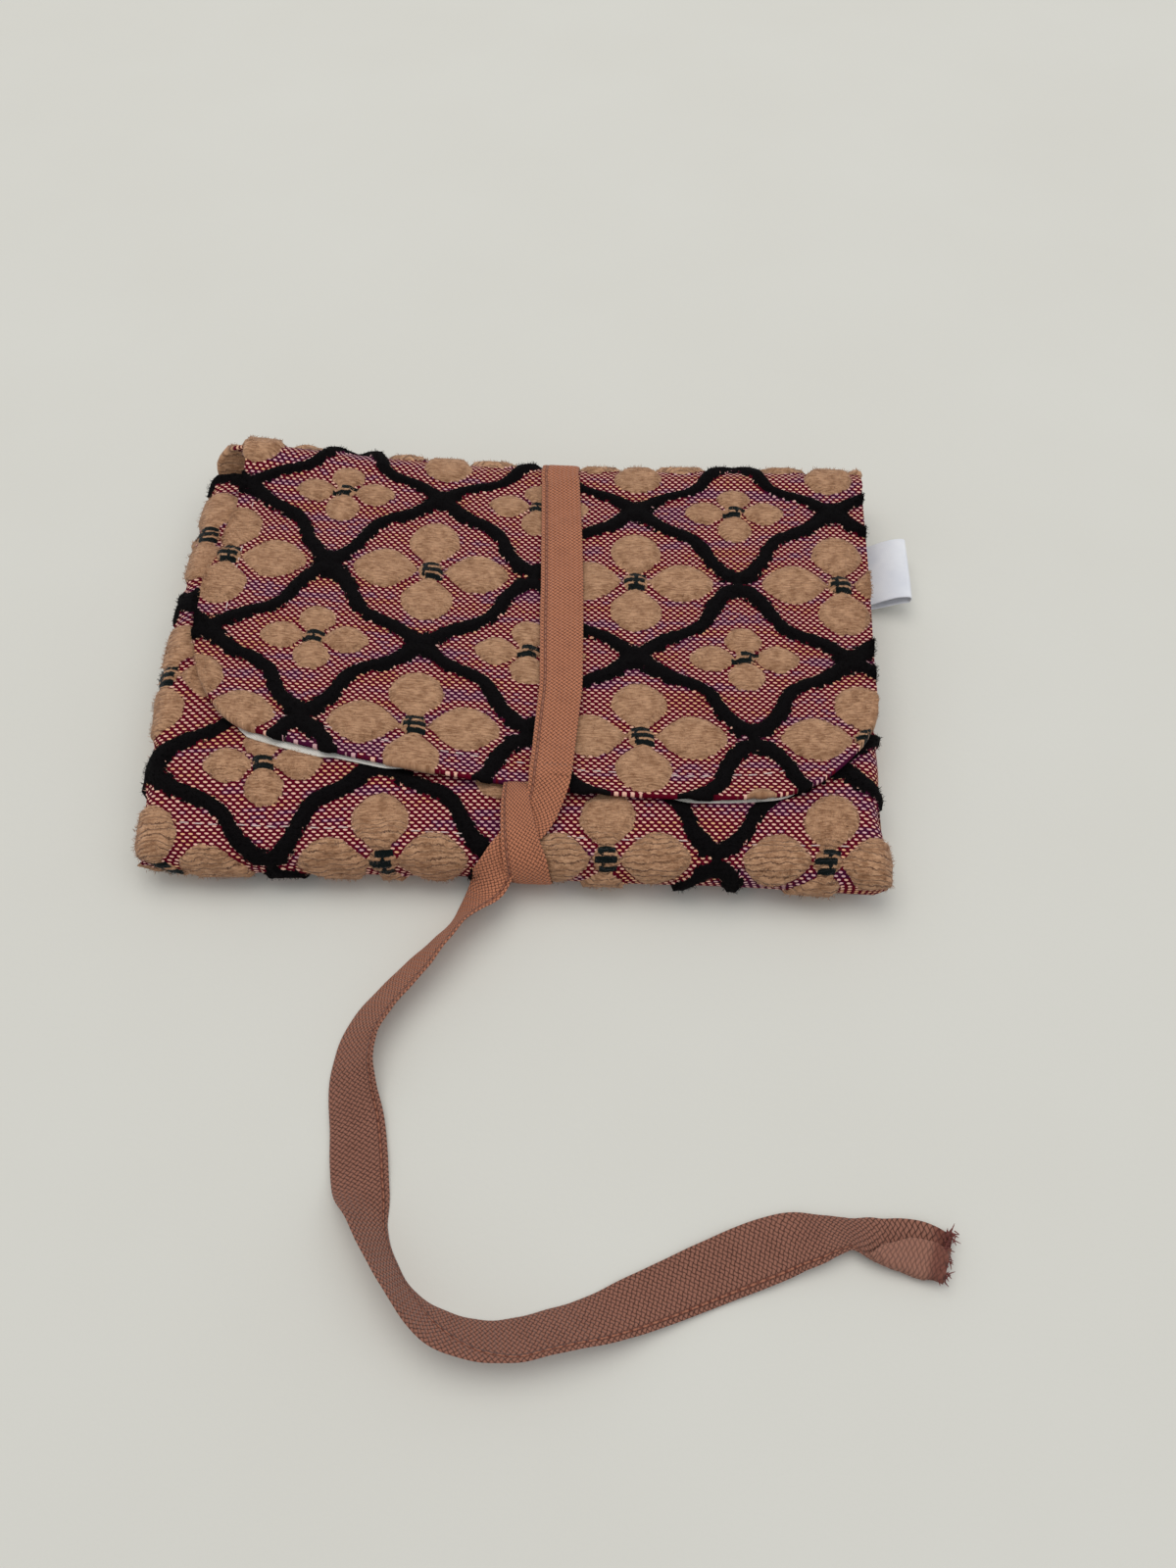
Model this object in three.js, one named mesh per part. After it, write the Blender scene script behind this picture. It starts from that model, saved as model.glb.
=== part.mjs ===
// Flat fold-over cloth pouch with an accordion of three pockets, a curved flap and one long cloth tie.
// The pouch lies on its back: X runs across its width, +Y points to the rear fold, Z is up.
// The tie is sewn to the front edge of the flap. It goes down the front, under the pouch, up the rear
// fold, over the flap and under its own first stretch, and its tail lies free in front of the pouch.
// All sizes are in millimetres.
import * as THREE from 'three';
import { mergeVertices } from 'three/addons/utils/BufferGeometryUtils.js';

// Overall sizes of the closed pouch
const bodyWidth = 164;
const bodyDepth = 121;

// Flap
const flapWidth = 158;
const flapReach = 104.9;
const flapLowX = 34;
const flapLeftRise = 16.9;
const flapRightRise = 6;
const flapLeftCorner = 14;
const flapRightCorner = 26;

// Pile of the woven flowers on the flap: four petals round each centre, in a lattice of large and
// small flowers. The ground between them lies a little lower.
const repeatWidth = 49.8;
const repeatDepth = 47.6;
const flowerX = 25.8;
const flowerY = 17.2;
const groundSink = 0.35;
const pileRise = 1.2;
const largeFlower = { side: 11.2, end: 9.2, petal: 8 };
const smallFlower = { side: 7.4, end: 5.4, petal: 5.2 };
const tiePress = 9.4;
const pressEase = 2;

// Cloth
const outerCloth = 1.6;
const liningCloth = 0.4;
const leafCloth = 0.5;
const pleatCloth = 0.3;
const clothGap = 0.3;
const liningInset = 1.5;

// Accordion: three pockets between the back, two leaves and the front
const slipPocket = 0.8;
const mainPocket = 4.4;
const mouthInset = 13.5;
const pleatDepth = 10;
const pleatInset = 2;
const thumbNotchWidth = 26;
const thumbNotchDepth = 3.5;

// Tie: a folded cloth tape
const tapeWidth = 9.6;
const tapeThickness = 0.8;
const tapeEdgeRound = 0.35;
const tieUnderX = 5;
const tieFlapX = 8.2;
const tailWidth = 10;

// The crossing in front of the flap, with distances measured over the cloth from the flap's edge:
// the tie's sewn end is gathered narrow, and the tucked run slants under it to the left
const tieSeamX = 0.5;
const gatheredWidth = 5.4;
const tuckWidth = 8.2;
const tuckLevel = 4.5;
const tuckSlant = 0.8;
const tuckLeave = 18.5;
const crossingEnd = 18;
const crossingSlack = 0.15;

// Side label: a folded woven loop in the right side seam
const labelOut = 12;
const labelLength = 19;
const labelCloth = 0.35;
const labelLoopGap = 1.6;
const labelY = 30;
const labelRise = 3.4;
const labelRootZ = 1.3;

// Levels of the layers in the closed pouch, from the table up
const backLiningZ = outerCloth + clothGap;
const leafOneZ = backLiningZ + liningCloth + slipPocket;
const leafTwoZ = leafOneZ + leafCloth + mainPocket;
const frontLiningZ = leafTwoZ + leafCloth + slipPocket;
const frontTopZ = frontLiningZ + liningCloth + clothGap + outerCloth;
const flapLiningZ = frontTopZ + clothGap;
const flapTopZ = flapLiningZ + liningCloth + clothGap + outerCloth;
const tieTopZ = flapTopZ + clothGap + tapeThickness;

// The two folds are half circles: the cloth of the back runs into the flap at the rear,
// and into the front at the front
const rearRadius = flapTopZ / 2;
const frontRadius = frontTopZ / 2;
const rearY = bodyDepth / 2 - rearRadius;
const frontY = -bodyDepth / 2 + frontRadius;
const mouthY = bodyDepth / 2 - mouthInset;

// The flap opens about the outside of the tie at the rear fold, half way up
const flapAxisZ = tieTopZ / 2;
const rearSplit = Math.asin((flapAxisZ - rearRadius) / rearRadius);
const splitGap = clothGap / 2 / (frontRadius - outerCloth - clothGap - liningCloth);

// Sides of the cloths
const bodyLeft = -bodyWidth / 2;
const bodyRight = bodyWidth / 2;
const flapRight = bodyRight;
const flapLeft = flapRight - flapWidth;
const pleatOuterX = bodyRight - pleatInset;
const leafHalfWidth = pleatOuterX - pleatDepth - clothGap;

// Colours as they render under plain light
const colours = {
  outer: 0x8d4a4f,
  lining: 0xeceae4,
  tape: 0xb06f5a,
  label: 0xf2f2f0,
};
const arcSteps = 9;
const straightSteps = 6;
const overSteps = 14;
const startSteps = 40;
const tuckSteps = 26;
const hangSteps = 5;
const labelBendSteps = 6;
const foldSteps = 6;
const leftCornerSteps = 4;
const rightCornerSteps = 6;
const reliefColumns = 19;
const reliefRows = 16;
const tailSteps = 76;

const pouch = new THREE.Group();

function material(colour, roughness) {
  return new THREE.MeshStandardMaterial({ color: colour, roughness, metalness: 0 });
}

function addPiece(name, geometry, colour, roughness = 0.9) {
  const mesh = new THREE.Mesh(geometry, material(colour, roughness));
  mesh.name = name;
  pouch.add(mesh);
  return mesh;
}

function spread(from, to, steps) {
  return Array.from({ length: steps + 1 }, (_, i) => from + ((to - from) * i) / steps);
}

function smooth(t) {
  const c = THREE.MathUtils.clamp(t, 0, 1);
  return c * c * (3 - 2 * c);
}

// Builds one closed body from vertices and triangles, and turns its faces outwards
function closedBody(vertices, triangles) {
  const position = new Float32Array(vertices.flatMap((v) => [v.x, v.y, v.z]));
  let volume = 0;
  for (let i = 0; i < triangles.length; i += 3) {
    const [a, b, c] = [0, 1, 2].map((k) => vertices[triangles[i + k]]);
    volume += a.dot(new THREE.Vector3().crossVectors(b, c)) / 6;
  }
  const index = volume < 0 ? [...triangles].reverse() : triangles;
  const geometry = new THREE.BufferGeometry();
  geometry.setAttribute('position', new THREE.BufferAttribute(position, 3));
  geometry.setIndex(index);
  geometry.computeVertexNormals();
  return geometry;
}

// A cloth between two grids of points, column by column: its outer and its inner face
function clothBody(outer, inner) {
  const columns = outer.length;
  const rows = outer[0].length;
  const vertices = [...outer.flat(), ...inner.flat()];
  const at = (side, i, j) => side * columns * rows + i * rows + j;
  const triangles = [];
  const quad = (a, b, c, d) => triangles.push(a, b, c, a, c, d);
  for (let i = 0; i + 1 < columns; i += 1) {
    for (let j = 0; j + 1 < rows; j += 1) {
      quad(at(0, i, j), at(0, i + 1, j), at(0, i + 1, j + 1), at(0, i, j + 1));
      quad(at(1, i, j), at(1, i, j + 1), at(1, i + 1, j + 1), at(1, i + 1, j));
    }
    quad(at(0, i + 1, 0), at(0, i, 0), at(1, i, 0), at(1, i + 1, 0));
    quad(at(0, i, rows - 1), at(0, i + 1, rows - 1), at(1, i + 1, rows - 1), at(1, i, rows - 1));
  }
  for (let j = 0; j + 1 < rows; j += 1) {
    quad(at(0, 0, j), at(0, 0, j + 1), at(1, 0, j + 1), at(1, 0, j));
    quad(at(0, columns - 1, j + 1), at(0, columns - 1, j), at(1, columns - 1, j), at(1, columns - 1, j + 1));
  }
  return closedBody(vertices, triangles);
}

// A cloth whose outer grid has more rows than its inner one after the fold that both share
function unevenCloth(outer, inner) {
  const columns = outer.length;
  const shared = inner[0].length - 1;
  const [outerRows, innerRows] = [outer[0].length, inner[0].length];
  const vertices = [...outer.flat(), ...inner.flat()];
  const top = (i, j) => i * outerRows + j;
  const low = (i, j) => columns * outerRows + i * innerRows + j;
  const triangles = [];
  const quad = (a, b, c, d) => triangles.push(a, b, c, a, c, d);
  for (let i = 0; i + 1 < columns; i += 1) {
    for (let j = 0; j + 1 < outerRows; j += 1) {
      quad(top(i, j), top(i + 1, j), top(i + 1, j + 1), top(i, j + 1));
    }
    for (let j = 0; j + 1 < innerRows; j += 1) {
      quad(low(i, j), low(i, j + 1), low(i + 1, j + 1), low(i + 1, j));
    }
    quad(top(i + 1, 0), top(i, 0), low(i, 0), low(i + 1, 0));
    quad(top(i, outerRows - 1), top(i + 1, outerRows - 1), low(i + 1, innerRows - 1), low(i, innerRows - 1));
  }
  const last = columns - 1;
  for (let j = 0; j + 1 < outerRows; j += 1) {
    const [near, far] = [Math.min(j, shared - 1), Math.min(j + 1, shared - 1)];
    triangles.push(top(0, j), top(0, j + 1), low(0, near), top(last, j + 1), top(last, j), low(last, near));
    if (far > near) {
      triangles.push(low(0, near), top(0, j + 1), low(0, far), top(last, j + 1), low(last, near), low(last, far));
    }
  }
  triangles.push(low(0, shared - 1), top(0, outerRows - 1), low(0, shared));
  triangles.push(top(last, outerRows - 1), low(last, shared - 1), low(last, shared));
  return closedBody(vertices, triangles);
}

// Stations of the outer face of a cloth that is wrapped round a fold
function foldStation(y, radius, angle) {
  const normal = new THREE.Vector2(Math.cos(angle), Math.sin(angle));
  return { y: y + radius * normal.x, z: radius + radius * normal.y, ny: normal.x, nz: normal.y };
}

function rearFold(angle) {
  return foldStation(rearY, rearRadius, angle);
}

function frontFold(angle) {
  return foldStation(frontY, frontRadius, angle);
}

function level(y, z, nz) {
  return { y, z, ny: 0, nz };
}

// The point that lies a given depth inside the outer face at a station
function inside(station, x, depth) {
  return new THREE.Vector3(x, station.y - station.ny * depth, station.z - station.nz * depth);
}

// Makes a layer of cloth from its columns of stations. depth is how far inside the outer face it starts.
function layer(columns, stationsAt, depth, thickness, grooveAt = () => 0) {
  const outer = columns.map((x) => stationsAt(x).map((s) => inside(s, x, depth + grooveAt(x, s))));
  const inner = columns.map((x) => stationsAt(x).map((s) => inside(s, x, depth + thickness)));
  return clothBody(outer, inner);
}

// The tie sinks into the cloth that it is pressed against under the pouch, and stands proud above
function tieSink(station) {
  const underside = smooth((-station.nz - 0.45) / 0.5);
  return underside * (clothGap + tapeThickness);
}

function groove(x, station) {
  const halfGroove = tapeWidth / 2 + clothGap;
  return Math.abs(x - tieUnderX) < halfGroove ? tieSink(station) : 0;
}

// Columns across a cloth, with a close pair at each side of the groove for the tie
function groovedColumns(left, right) {
  const halfGroove = tapeWidth / 2 + clothGap;
  const wall = 0.1;
  const near = [halfGroove + wall, halfGroove - wall];
  const low = near.map((d) => tieUnderX - d);
  const high = [...near].reverse().map((d) => tieUnderX + d);
  return [...spread(left, low[0], straightSteps), low[1], high[0], ...spread(high[1], right, straightSteps)];
}

// Outer cloth and lining of the back: from the rear fold, along the table, to the front fold
function backStations() {
  const rear = spread(rearSplit - splitGap, -Math.PI / 2, arcSteps).map(rearFold);
  const table = spread(rearY, frontY, straightSteps).slice(1, -1).map((y) => level(y, 0, -1));
  const front = spread(-Math.PI / 2, -Math.PI + splitGap, arcSteps).map(frontFold);
  return [...rear, ...table, ...front];
}

function backPanel() {
  return layer(groovedColumns(bodyLeft, bodyRight), backStations, 0, outerCloth, groove);
}

function backLining() {
  const columns = spread(bodyLeft + liningInset, bodyRight - liningInset, straightSteps);
  return layer(columns, backStations, outerCloth + clothGap, liningCloth);
}

// Outer cloth and lining of the front: from the front fold, over the pockets, to the mouth
function frontStations() {
  const fold = spread(Math.PI - splitGap, Math.PI / 2, arcSteps).map(frontFold);
  const top = spread(frontY, mouthY, straightSteps).slice(1).map((y) => level(y, frontTopZ, 1));
  return [...fold, ...top];
}

function frontPanel() {
  return layer(spread(bodyLeft, bodyRight, straightSteps), frontStations, 0, outerCloth);
}

function frontLining() {
  const columns = spread(bodyLeft + liningInset, bodyRight - liningInset, straightSteps);
  return layer(columns, frontStations, outerCloth + clothGap, liningCloth);
}

// How far a value lies from the nearest of a row of evenly spaced centres
function offCentre(value, pitch) {
  return value - pitch * Math.round(value / pitch);
}

function petalHeight(x, y, flower) {
  const sideways = Math.hypot(Math.abs(x) - flower.side, y);
  const lengthways = Math.hypot(x, Math.abs(y) - flower.end);
  return smooth(2 * (1 - Math.min(sideways, lengthways) / flower.petal));
}

// The pile over the ground at a place on the flap. It is pressed flat under the tie.
function pile(x, y) {
  const large = petalHeight(offCentre(x - flowerX, repeatWidth), offCentre(y - flowerY, repeatDepth), largeFlower);
  const smallX = offCentre(x - flowerX - repeatWidth / 2, repeatWidth);
  const smallY = offCentre(y - flowerY - repeatDepth / 2, repeatDepth);
  const free = smooth((Math.abs(x - tieAlong(y)) - tiePress) / pressEase);
  return pileRise * Math.max(large, petalHeight(smallX, smallY, smallFlower)) * free;
}

// The tie's middle line where it lies over the flap
function tieAlong(y) {
  return ease(rearY - y, 0, rearY, tieUnderX, tieFlapX);
}

// The flap's front edge is a bow that is furthest forward right of the middle, with two round corners
function cornerRise(past, radius) {
  const into = THREE.MathUtils.clamp(past, 0, radius);
  return radius - Math.sqrt(radius * radius - into * into);
}

function flapEdgeY(x, inset) {
  const toLeft = Math.max(flapLowX - x, 0) / (flapLowX - flapLeft - inset);
  const toRight = Math.max(x - flapLowX, 0) / (flapRight - inset - flapLowX);
  const leftCorner = flapLeftCorner - inset;
  const rightCorner = flapRightCorner - inset;
  const left = cornerRise(flapLeft + inset + leftCorner - x, leftCorner);
  const right = cornerRise(x - (flapRight - inset - rightCorner), rightCorner);
  const bow = flapLeftRise * toLeft ** 2 + flapRightRise * toRight ** 2;
  return bodyDepth / 2 - flapReach + inset + bow + left + right;
}

function flapFold() {
  return spread(rearSplit + splitGap, Math.PI / 2, foldSteps).map(rearFold);
}

function flapStations(x, inset, steps) {
  const top = spread(rearY, flapEdgeY(x, inset), steps).slice(1);
  return [...flapFold(), ...top.map((y) => level(y, flapTopZ, 1))];
}

// Columns are close together at the two corners, where the edge turns
function flapColumns(inset, middleSteps) {
  const [leftCorner, rightCorner] = [flapLeftCorner - inset, flapRightCorner - inset];
  const [left, right] = [flapLeft + inset, flapRight - inset];
  const leftTurn = spread(0, Math.PI / 2, leftCornerSteps).map((a) => left + leftCorner * (1 - Math.cos(a)));
  const rightTurn = spread(Math.PI / 2, 0, rightCornerSteps).map((a) => right - rightCorner * (1 - Math.cos(a)));
  const middle = spread(left + leftCorner, right - rightCorner, middleSteps).slice(1, -1);
  return [...leftTurn, ...middle, ...rightTurn];
}

// The flap's outer face carries the pile. Its inner face is plain, so it needs only its border points.
function flapPanel() {
  const columns = flapColumns(0, reliefColumns);
  const outer = columns.map((x) => flapStations(x, 0, reliefRows).map((s) => {
    const onTop = smooth((s.nz - 0.8) / 0.2);
    return inside(s, x, groundSink - pile(x, s.y) * onTop);
  }));
  const inner = columns.map((x) => flapStations(x, 0, 1).map((s) => inside(s, x, outerCloth)));
  return unevenCloth(outer, inner);
}

function flapLining() {
  const columns = flapColumns(liningInset, straightSteps);
  return layer(columns, (x) => flapStations(x, liningInset, straightSteps), outerCloth + clothGap, liningCloth);
}

// Accordion leaf: a doubled lining cloth with a shallow finger notch in its mouth edge
function leaf(z) {
  const foldRoom = frontRadius - outerCloth - clothGap - liningCloth - clothGap;
  const leafFrontY = frontY - Math.sqrt(foldRoom ** 2 - (frontRadius - leafOneZ) ** 2);
  const shape = new THREE.Shape();
  const notch = thumbNotchWidth / 2;
  shape.moveTo(-leafHalfWidth, leafFrontY);
  shape.lineTo(leafHalfWidth, leafFrontY);
  shape.lineTo(leafHalfWidth, mouthY);
  shape.lineTo(notch, mouthY);
  shape.bezierCurveTo(notch / 2, mouthY, notch / 2, mouthY - thumbNotchDepth, 0, mouthY - thumbNotchDepth);
  shape.bezierCurveTo(-notch / 2, mouthY - thumbNotchDepth, -notch / 2, mouthY, -notch, mouthY);
  shape.lineTo(-leafHalfWidth, mouthY);
  shape.closePath();
  const geometry = new THREE.ExtrudeGeometry(shape, { depth: leafCloth, bevelEnabled: false, curveSegments: 8 });
  return geometry.translate(0, 0, z);
}

// Outline of a cloth strip that follows a line of points across the pouch, half its thickness to each side
function stripShape(points, thickness) {
  const side = (i) => {
    const a = points[Math.max(i - 1, 0)];
    const b = points[Math.min(i + 1, points.length - 1)];
    return new THREE.Vector2(b.y - a.y, a.x - b.x).normalize().multiplyScalar(thickness / 2);
  };
  const one = points.map((p, i) => p.clone().add(side(i)));
  const other = points.map((p, i) => p.clone().sub(side(i))).reverse();
  return new THREE.Shape([...one, ...other]);
}

// Pleat of one pocket, as a line in the X-Z plane on the right side of the pouch
const pleatRoot = leafHalfWidth + clothGap;
const pleatBackZ = backLiningZ + liningCloth + clothGap + pleatCloth / 2;
const pleatFrontZ = frontLiningZ - clothGap - pleatCloth / 2;
const leafOneMid = leafOneZ + leafCloth / 2;
const leafTwoMid = leafTwoZ + leafCloth / 2;
const pleatStep = (pleatCloth + clothGap) / 2;

function backPleat() {
  return [
    new THREE.Vector2(pleatOuterX, pleatBackZ),
    new THREE.Vector2((pleatOuterX + pleatRoot) / 2, pleatBackZ + pleatCloth / 4),
    new THREE.Vector2(pleatRoot, leafOneMid - pleatStep),
  ];
}

function middlePleat() {
  const low = leafOneMid + pleatStep;
  const high = leafTwoMid - pleatStep;
  const middle = (low + high) / 2;
  const turn = (high - low) / 4;
  const straight = [new THREE.Vector2(pleatRoot, low), new THREE.Vector2(pleatOuterX - 3 * turn, middle - turn)];
  const bend = spread(-Math.PI / 2, Math.PI / 2, arcSteps).slice(1, -1).map((a) => new THREE.Vector2(
    pleatOuterX - turn + turn * Math.cos(a),
    middle + turn * Math.sin(a),
  ));
  const back = [new THREE.Vector2(pleatOuterX - 3 * turn, middle + turn), new THREE.Vector2(pleatRoot, high)];
  return [...straight, ...bend, ...back];
}

function frontPleat() {
  return [
    new THREE.Vector2(pleatRoot, leafTwoMid + pleatStep),
    new THREE.Vector2((pleatOuterX + pleatRoot) / 2, pleatFrontZ - pleatCloth / 4),
    new THREE.Vector2(pleatOuterX, pleatFrontZ),
  ];
}

// sign is 1 for the right side and -1 for the left
function pleat(line, sign) {
  const points = line.map((p) => new THREE.Vector2(sign * p.x, p.y));
  const length = mouthY - frontY;
  const geometry = new THREE.ExtrudeGeometry(stripShape(points, pleatCloth), { depth: length, bevelEnabled: false });
  return geometry.rotateX(Math.PI / 2).translate(0, mouthY, 0);
}

// A run of tape through controls: each has its centre, its directions across and out, and its width
function tape(controls) {
  const thick = tapeThickness / 2;
  return loftBody(controls.map(({ centre, across, out, width }) => {
    const half = width / 2;
    const flat = half - tapeEdgeRound;
    const section = [[half, 0], [flat, thick], [-flat, thick], [-half, 0], [-flat, -thick], [flat, -thick]];
    return section.map(([s, o]) => centre.clone().addScaledVector(across, s).addScaledVector(out, o));
  }));
}

// A closed body through rings of points, with a flat cap at each end
function loftBody(rings) {
  const count = rings[0].length;
  const triangles = [];
  for (let r = 0; r + 1 < rings.length; r += 1) {
    for (let i = 0; i < count; i += 1) {
      const next = (i + 1) % count;
      const [a, b, c, d] = [r * count + i, r * count + next, (r + 1) * count + next, (r + 1) * count + i];
      triangles.push(a, b, c, a, c, d);
    }
  }
  const last = (rings.length - 1) * count;
  for (let i = 1; i + 1 < count; i += 1) {
    triangles.push(0, i + 1, i, last, last + i, last + i + 1);
  }
  return closedBody(rings.flat(), triangles);
}

// A control of the tape, a given height above the outer face at a station
function tapeControl(station, x, height, width = tapeWidth) {
  const centre = inside(station, x, -(height + tapeThickness / 2));
  return { centre, across: new THREE.Vector3(1, 0, 0), out: new THREE.Vector3(0, station.ny, station.nz), width };
}

// The outer face of the front, by the distance in front of the flap's edge, measured over the cloth
const flapFrontY = flapEdgeY(tieFlapX + tapeWidth / 2, 0);
const seamStart = clothGap + flapFrontY - flapEdgeY(tieSeamX + gatheredWidth / 2, 0);
const flatFront = flapFrontY - frontY;
const frontTip = flatFront + (frontRadius * Math.PI) / 2;
const frontBottom = flatFront + frontRadius * Math.PI;

function frontSurface(distance) {
  if (distance < flatFront) {
    return level(flapFrontY - distance, frontTopZ, 1);
  }
  return frontFold(Math.PI / 2 + (distance - flatFront) / frontRadius);
}

// Goes smoothly from one value to another while the distance goes from start to end
function ease(distance, start, end, from, to) {
  return from + (to - from) * smooth((distance - start) / (end - start));
}

// First stretch of the tie: it comes out of the seam in the flap's front edge, gathered narrow, rises
// over the tucked run, and goes down the front fold and into its bed under the pouch
function tieStart() {
  const crossingHeight = clothGap + tapeThickness + clothGap + crossingSlack;
  const seamHeight = clothGap + liningCloth / 2;
  return tape(spread(seamStart, frontBottom, startSteps).map((distance) => {
    const station = frontSurface(distance);
    const rise = ease(distance, seamStart, tuckLevel, seamHeight, crossingHeight);
    const height = ease(distance, crossingEnd, frontTip, rise, clothGap) - tieSink(station);
    const x = ease(distance, 0, frontTip, tieSeamX, tieUnderX);
    const width = ease(distance, tuckLevel, frontBottom, gatheredWidth, tapeWidth);
    return tapeControl(station, x, height, width);
  }));
}

// The run under the pouch and up the rear fold to the flap's axis
function tieUnder() {
  const table = spread(frontY + clothGap, rearY, straightSteps).map((y) => level(y, 0, -1));
  const rise = spread(-Math.PI / 2, rearSplit - splitGap, 2 * arcSteps).slice(1).map(rearFold);
  return tape([...table, ...rise].map((s) => tapeControl(s, tieUnderX, clothGap - tieSink(s))));
}

// The run up the upper half of the rear fold and over the flap to its front edge
function tieOver() {
  const rise = spread(rearSplit + splitGap, Math.PI / 2, arcSteps).map(rearFold);
  const top = spread(rearY, flapFrontY, overSteps).slice(1).map((y) => level(y, flapTopZ, 1));
  return tape([...rise, ...top].map((station) => {
    const x = tieAlong(station.y);
    const width = ease(-station.y, 0, -flapFrontY, tapeWidth, tuckWidth);
    return tapeControl(station, x, clothGap, width);
  }));
}

// The free tail of the tie, chosen point by point along its way down to the table and over it
const tailRoute = [
  [-6.8, -65.0, 2.9], [-7.9, -67.4, 1.5], [-9.8, -71.8, 0.8], [-13.4, -77.8, 0.8],
  [-18.0, -83.4, 0.8], [-22.0, -88.6, 0.8], [-24.8, -94.0, 0.8], [-25.8, -99.6, 0.8], [-25.4, -105.4, 0.8],
  [-24.3, -111.4, 0.8], [-23.2, -118.4, 0.8], [-21.6, -126.0, 0.8], [-18.8, -134.0, 0.8],
  [-14.8, -141.4, 0.8], [-9.8, -146.8, 0.8], [-3.4, -149.6, 0.8], [4.2, -150.2, 0.8], [13.0, -148.4, 0.8],
  [23.4, -144.8, 0.8], [34.0, -140.4, 0.8], [45.0, -135.6, 0.8], [55.0, -131.6, 0.8],
  [65.0, -129.4, 0.8], [74.0, -129.0, 0.8], [81.5, -130.0, 0.8], [87.0, -131.4, 0.8],
].map(([x, y, z]) => new THREE.Vector3(x, y, z));

// A control on the tail, with the tape's flat side up. An extruded section would turn with the route.
const tailCurve = new THREE.CatmullRomCurve3(tailRoute, false, 'centripetal');

function tailControl(share) {
  const along = tailCurve.getTangentAt(share);
  const across = new THREE.Vector3(0, 0, 1).cross(along).normalize();
  const out = new THREE.Vector3().crossVectors(along, across);
  return { centre: tailCurve.getPointAt(share), along, across, out, width: tailWidth };
}

function tieTail() {
  return tape(spread(0, 1, tailSteps).map(tailControl));
}

// The tucked run: it steps down from the flap's edge, slants under the first stretch and hangs from
// the front fold, turning to meet the tail
function tieTuck() {
  const fromFlap = flapTopZ - frontTopZ + clothGap;
  const onFront = spread(clothGap, tuckLeave, tuckSteps).map((distance) => {
    const height = ease(distance, 0, tuckLevel, fromFlap, clothGap);
    const x = tieFlapX - Math.max(distance - tuckLevel, 0) * tuckSlant;
    return tapeControl(frontSurface(distance), x, height, tuckWidth);
  });
  const from = onFront.at(-1);
  const to = tailControl(0);
  const end = to.centre.clone().addScaledVector(to.along, -clothGap);
  const hang = spread(0, 1, hangSteps).slice(1).map((t) => ({
    centre: from.centre.clone().lerp(end, t),
    across: from.across.clone().lerp(to.across, t).normalize(),
    out: from.out.clone().lerp(to.out, t).normalize(),
    width: THREE.MathUtils.lerp(tuckWidth, tailWidth, t),
  }));
  return tape([...onFront, ...hang]);
}

// Side label: a cloth loop whose two ends meet at the side seam and whose tip stands up
function sideLabel() {
  const seam = bodyRight + clothGap;
  const tip = bodyRight + labelOut;
  const rise = (x) => labelRootZ + labelRise * smooth((x - seam) / labelOut);
  const open = (x) => (labelCloth + labelLoopGap * Math.sin(Math.PI * ((x - seam) / (tip - seam)) * 0.75)) / 2;
  const xs = spread(seam, tip - labelLoopGap / 2, arcSteps);
  const upper = xs.map((x) => new THREE.Vector2(x, rise(x) + open(x)));
  const lower = xs.map((x) => new THREE.Vector2(x, rise(x) - open(x)));
  const tipX = tip - labelLoopGap / 2;
  const bend = spread(Math.PI / 2, -Math.PI / 2, labelBendSteps).slice(1, -1).map((a) => new THREE.Vector2(
    tipX + (labelLoopGap / 2 - labelCloth / 2) * Math.cos(a),
    rise(tipX) + open(tipX) * Math.sin(a),
  ));
  const line = [...upper, ...bend, ...lower.reverse()];
  const shape = stripShape(line, labelCloth);
  const geometry = new THREE.ExtrudeGeometry(shape, { depth: labelLength, bevelEnabled: false });
  return geometry.rotateX(Math.PI / 2).translate(0, labelY + labelLength / 2, 0);
}

// Cleans a geometry so that shared corners are one vertex
function welded(geometry) {
  geometry.deleteAttribute('normal');
  geometry.deleteAttribute('uv');
  const merged = mergeVertices(geometry, 1e-5);
  merged.computeVertexNormals();
  return merged;
}

addPiece('back_panel', backPanel(), colours.outer);
addPiece('back_lining', backLining(), colours.lining);
addPiece('front_panel', frontPanel(), colours.outer);
addPiece('front_lining', frontLining(), colours.lining);
addPiece('flap_panel', flapPanel(), colours.outer);
addPiece('flap_lining', flapLining(), colours.lining);
addPiece('pocket_leaf_back', welded(leaf(leafOneZ)), colours.lining);
addPiece('pocket_leaf_front', welded(leaf(leafTwoZ)), colours.lining);
for (const [side, sign] of [['left', -1], ['right', 1]]) {
  addPiece(`${side}_pleat_back`, welded(pleat(backPleat(), sign)), colours.lining);
  addPiece(`${side}_pleat_middle`, welded(pleat(middlePleat(), sign)), colours.lining);
  addPiece(`${side}_pleat_front`, welded(pleat(frontPleat(), sign)), colours.lining);
}
addPiece('tie_start', tieStart(), colours.tape);
addPiece('tie_under', tieUnder(), colours.tape);
addPiece('tie_over', tieOver(), colours.tape);
addPiece('tie_tuck', tieTuck(), colours.tape);
addPiece('tie_tail', tieTail(), colours.tape);
addPiece('side_label', welded(sideLabel()), colours.label, 0.6);

// The origin is on the table under the middle of the pouch and its label, with the tail left out
pouch.position.set(-labelOut / 2, 0, 0);

export default pouch;
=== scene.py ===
"""Accordion pouch: looks. Works in millimetres in the model's frame and converts to metres at the end."""
import math

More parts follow.
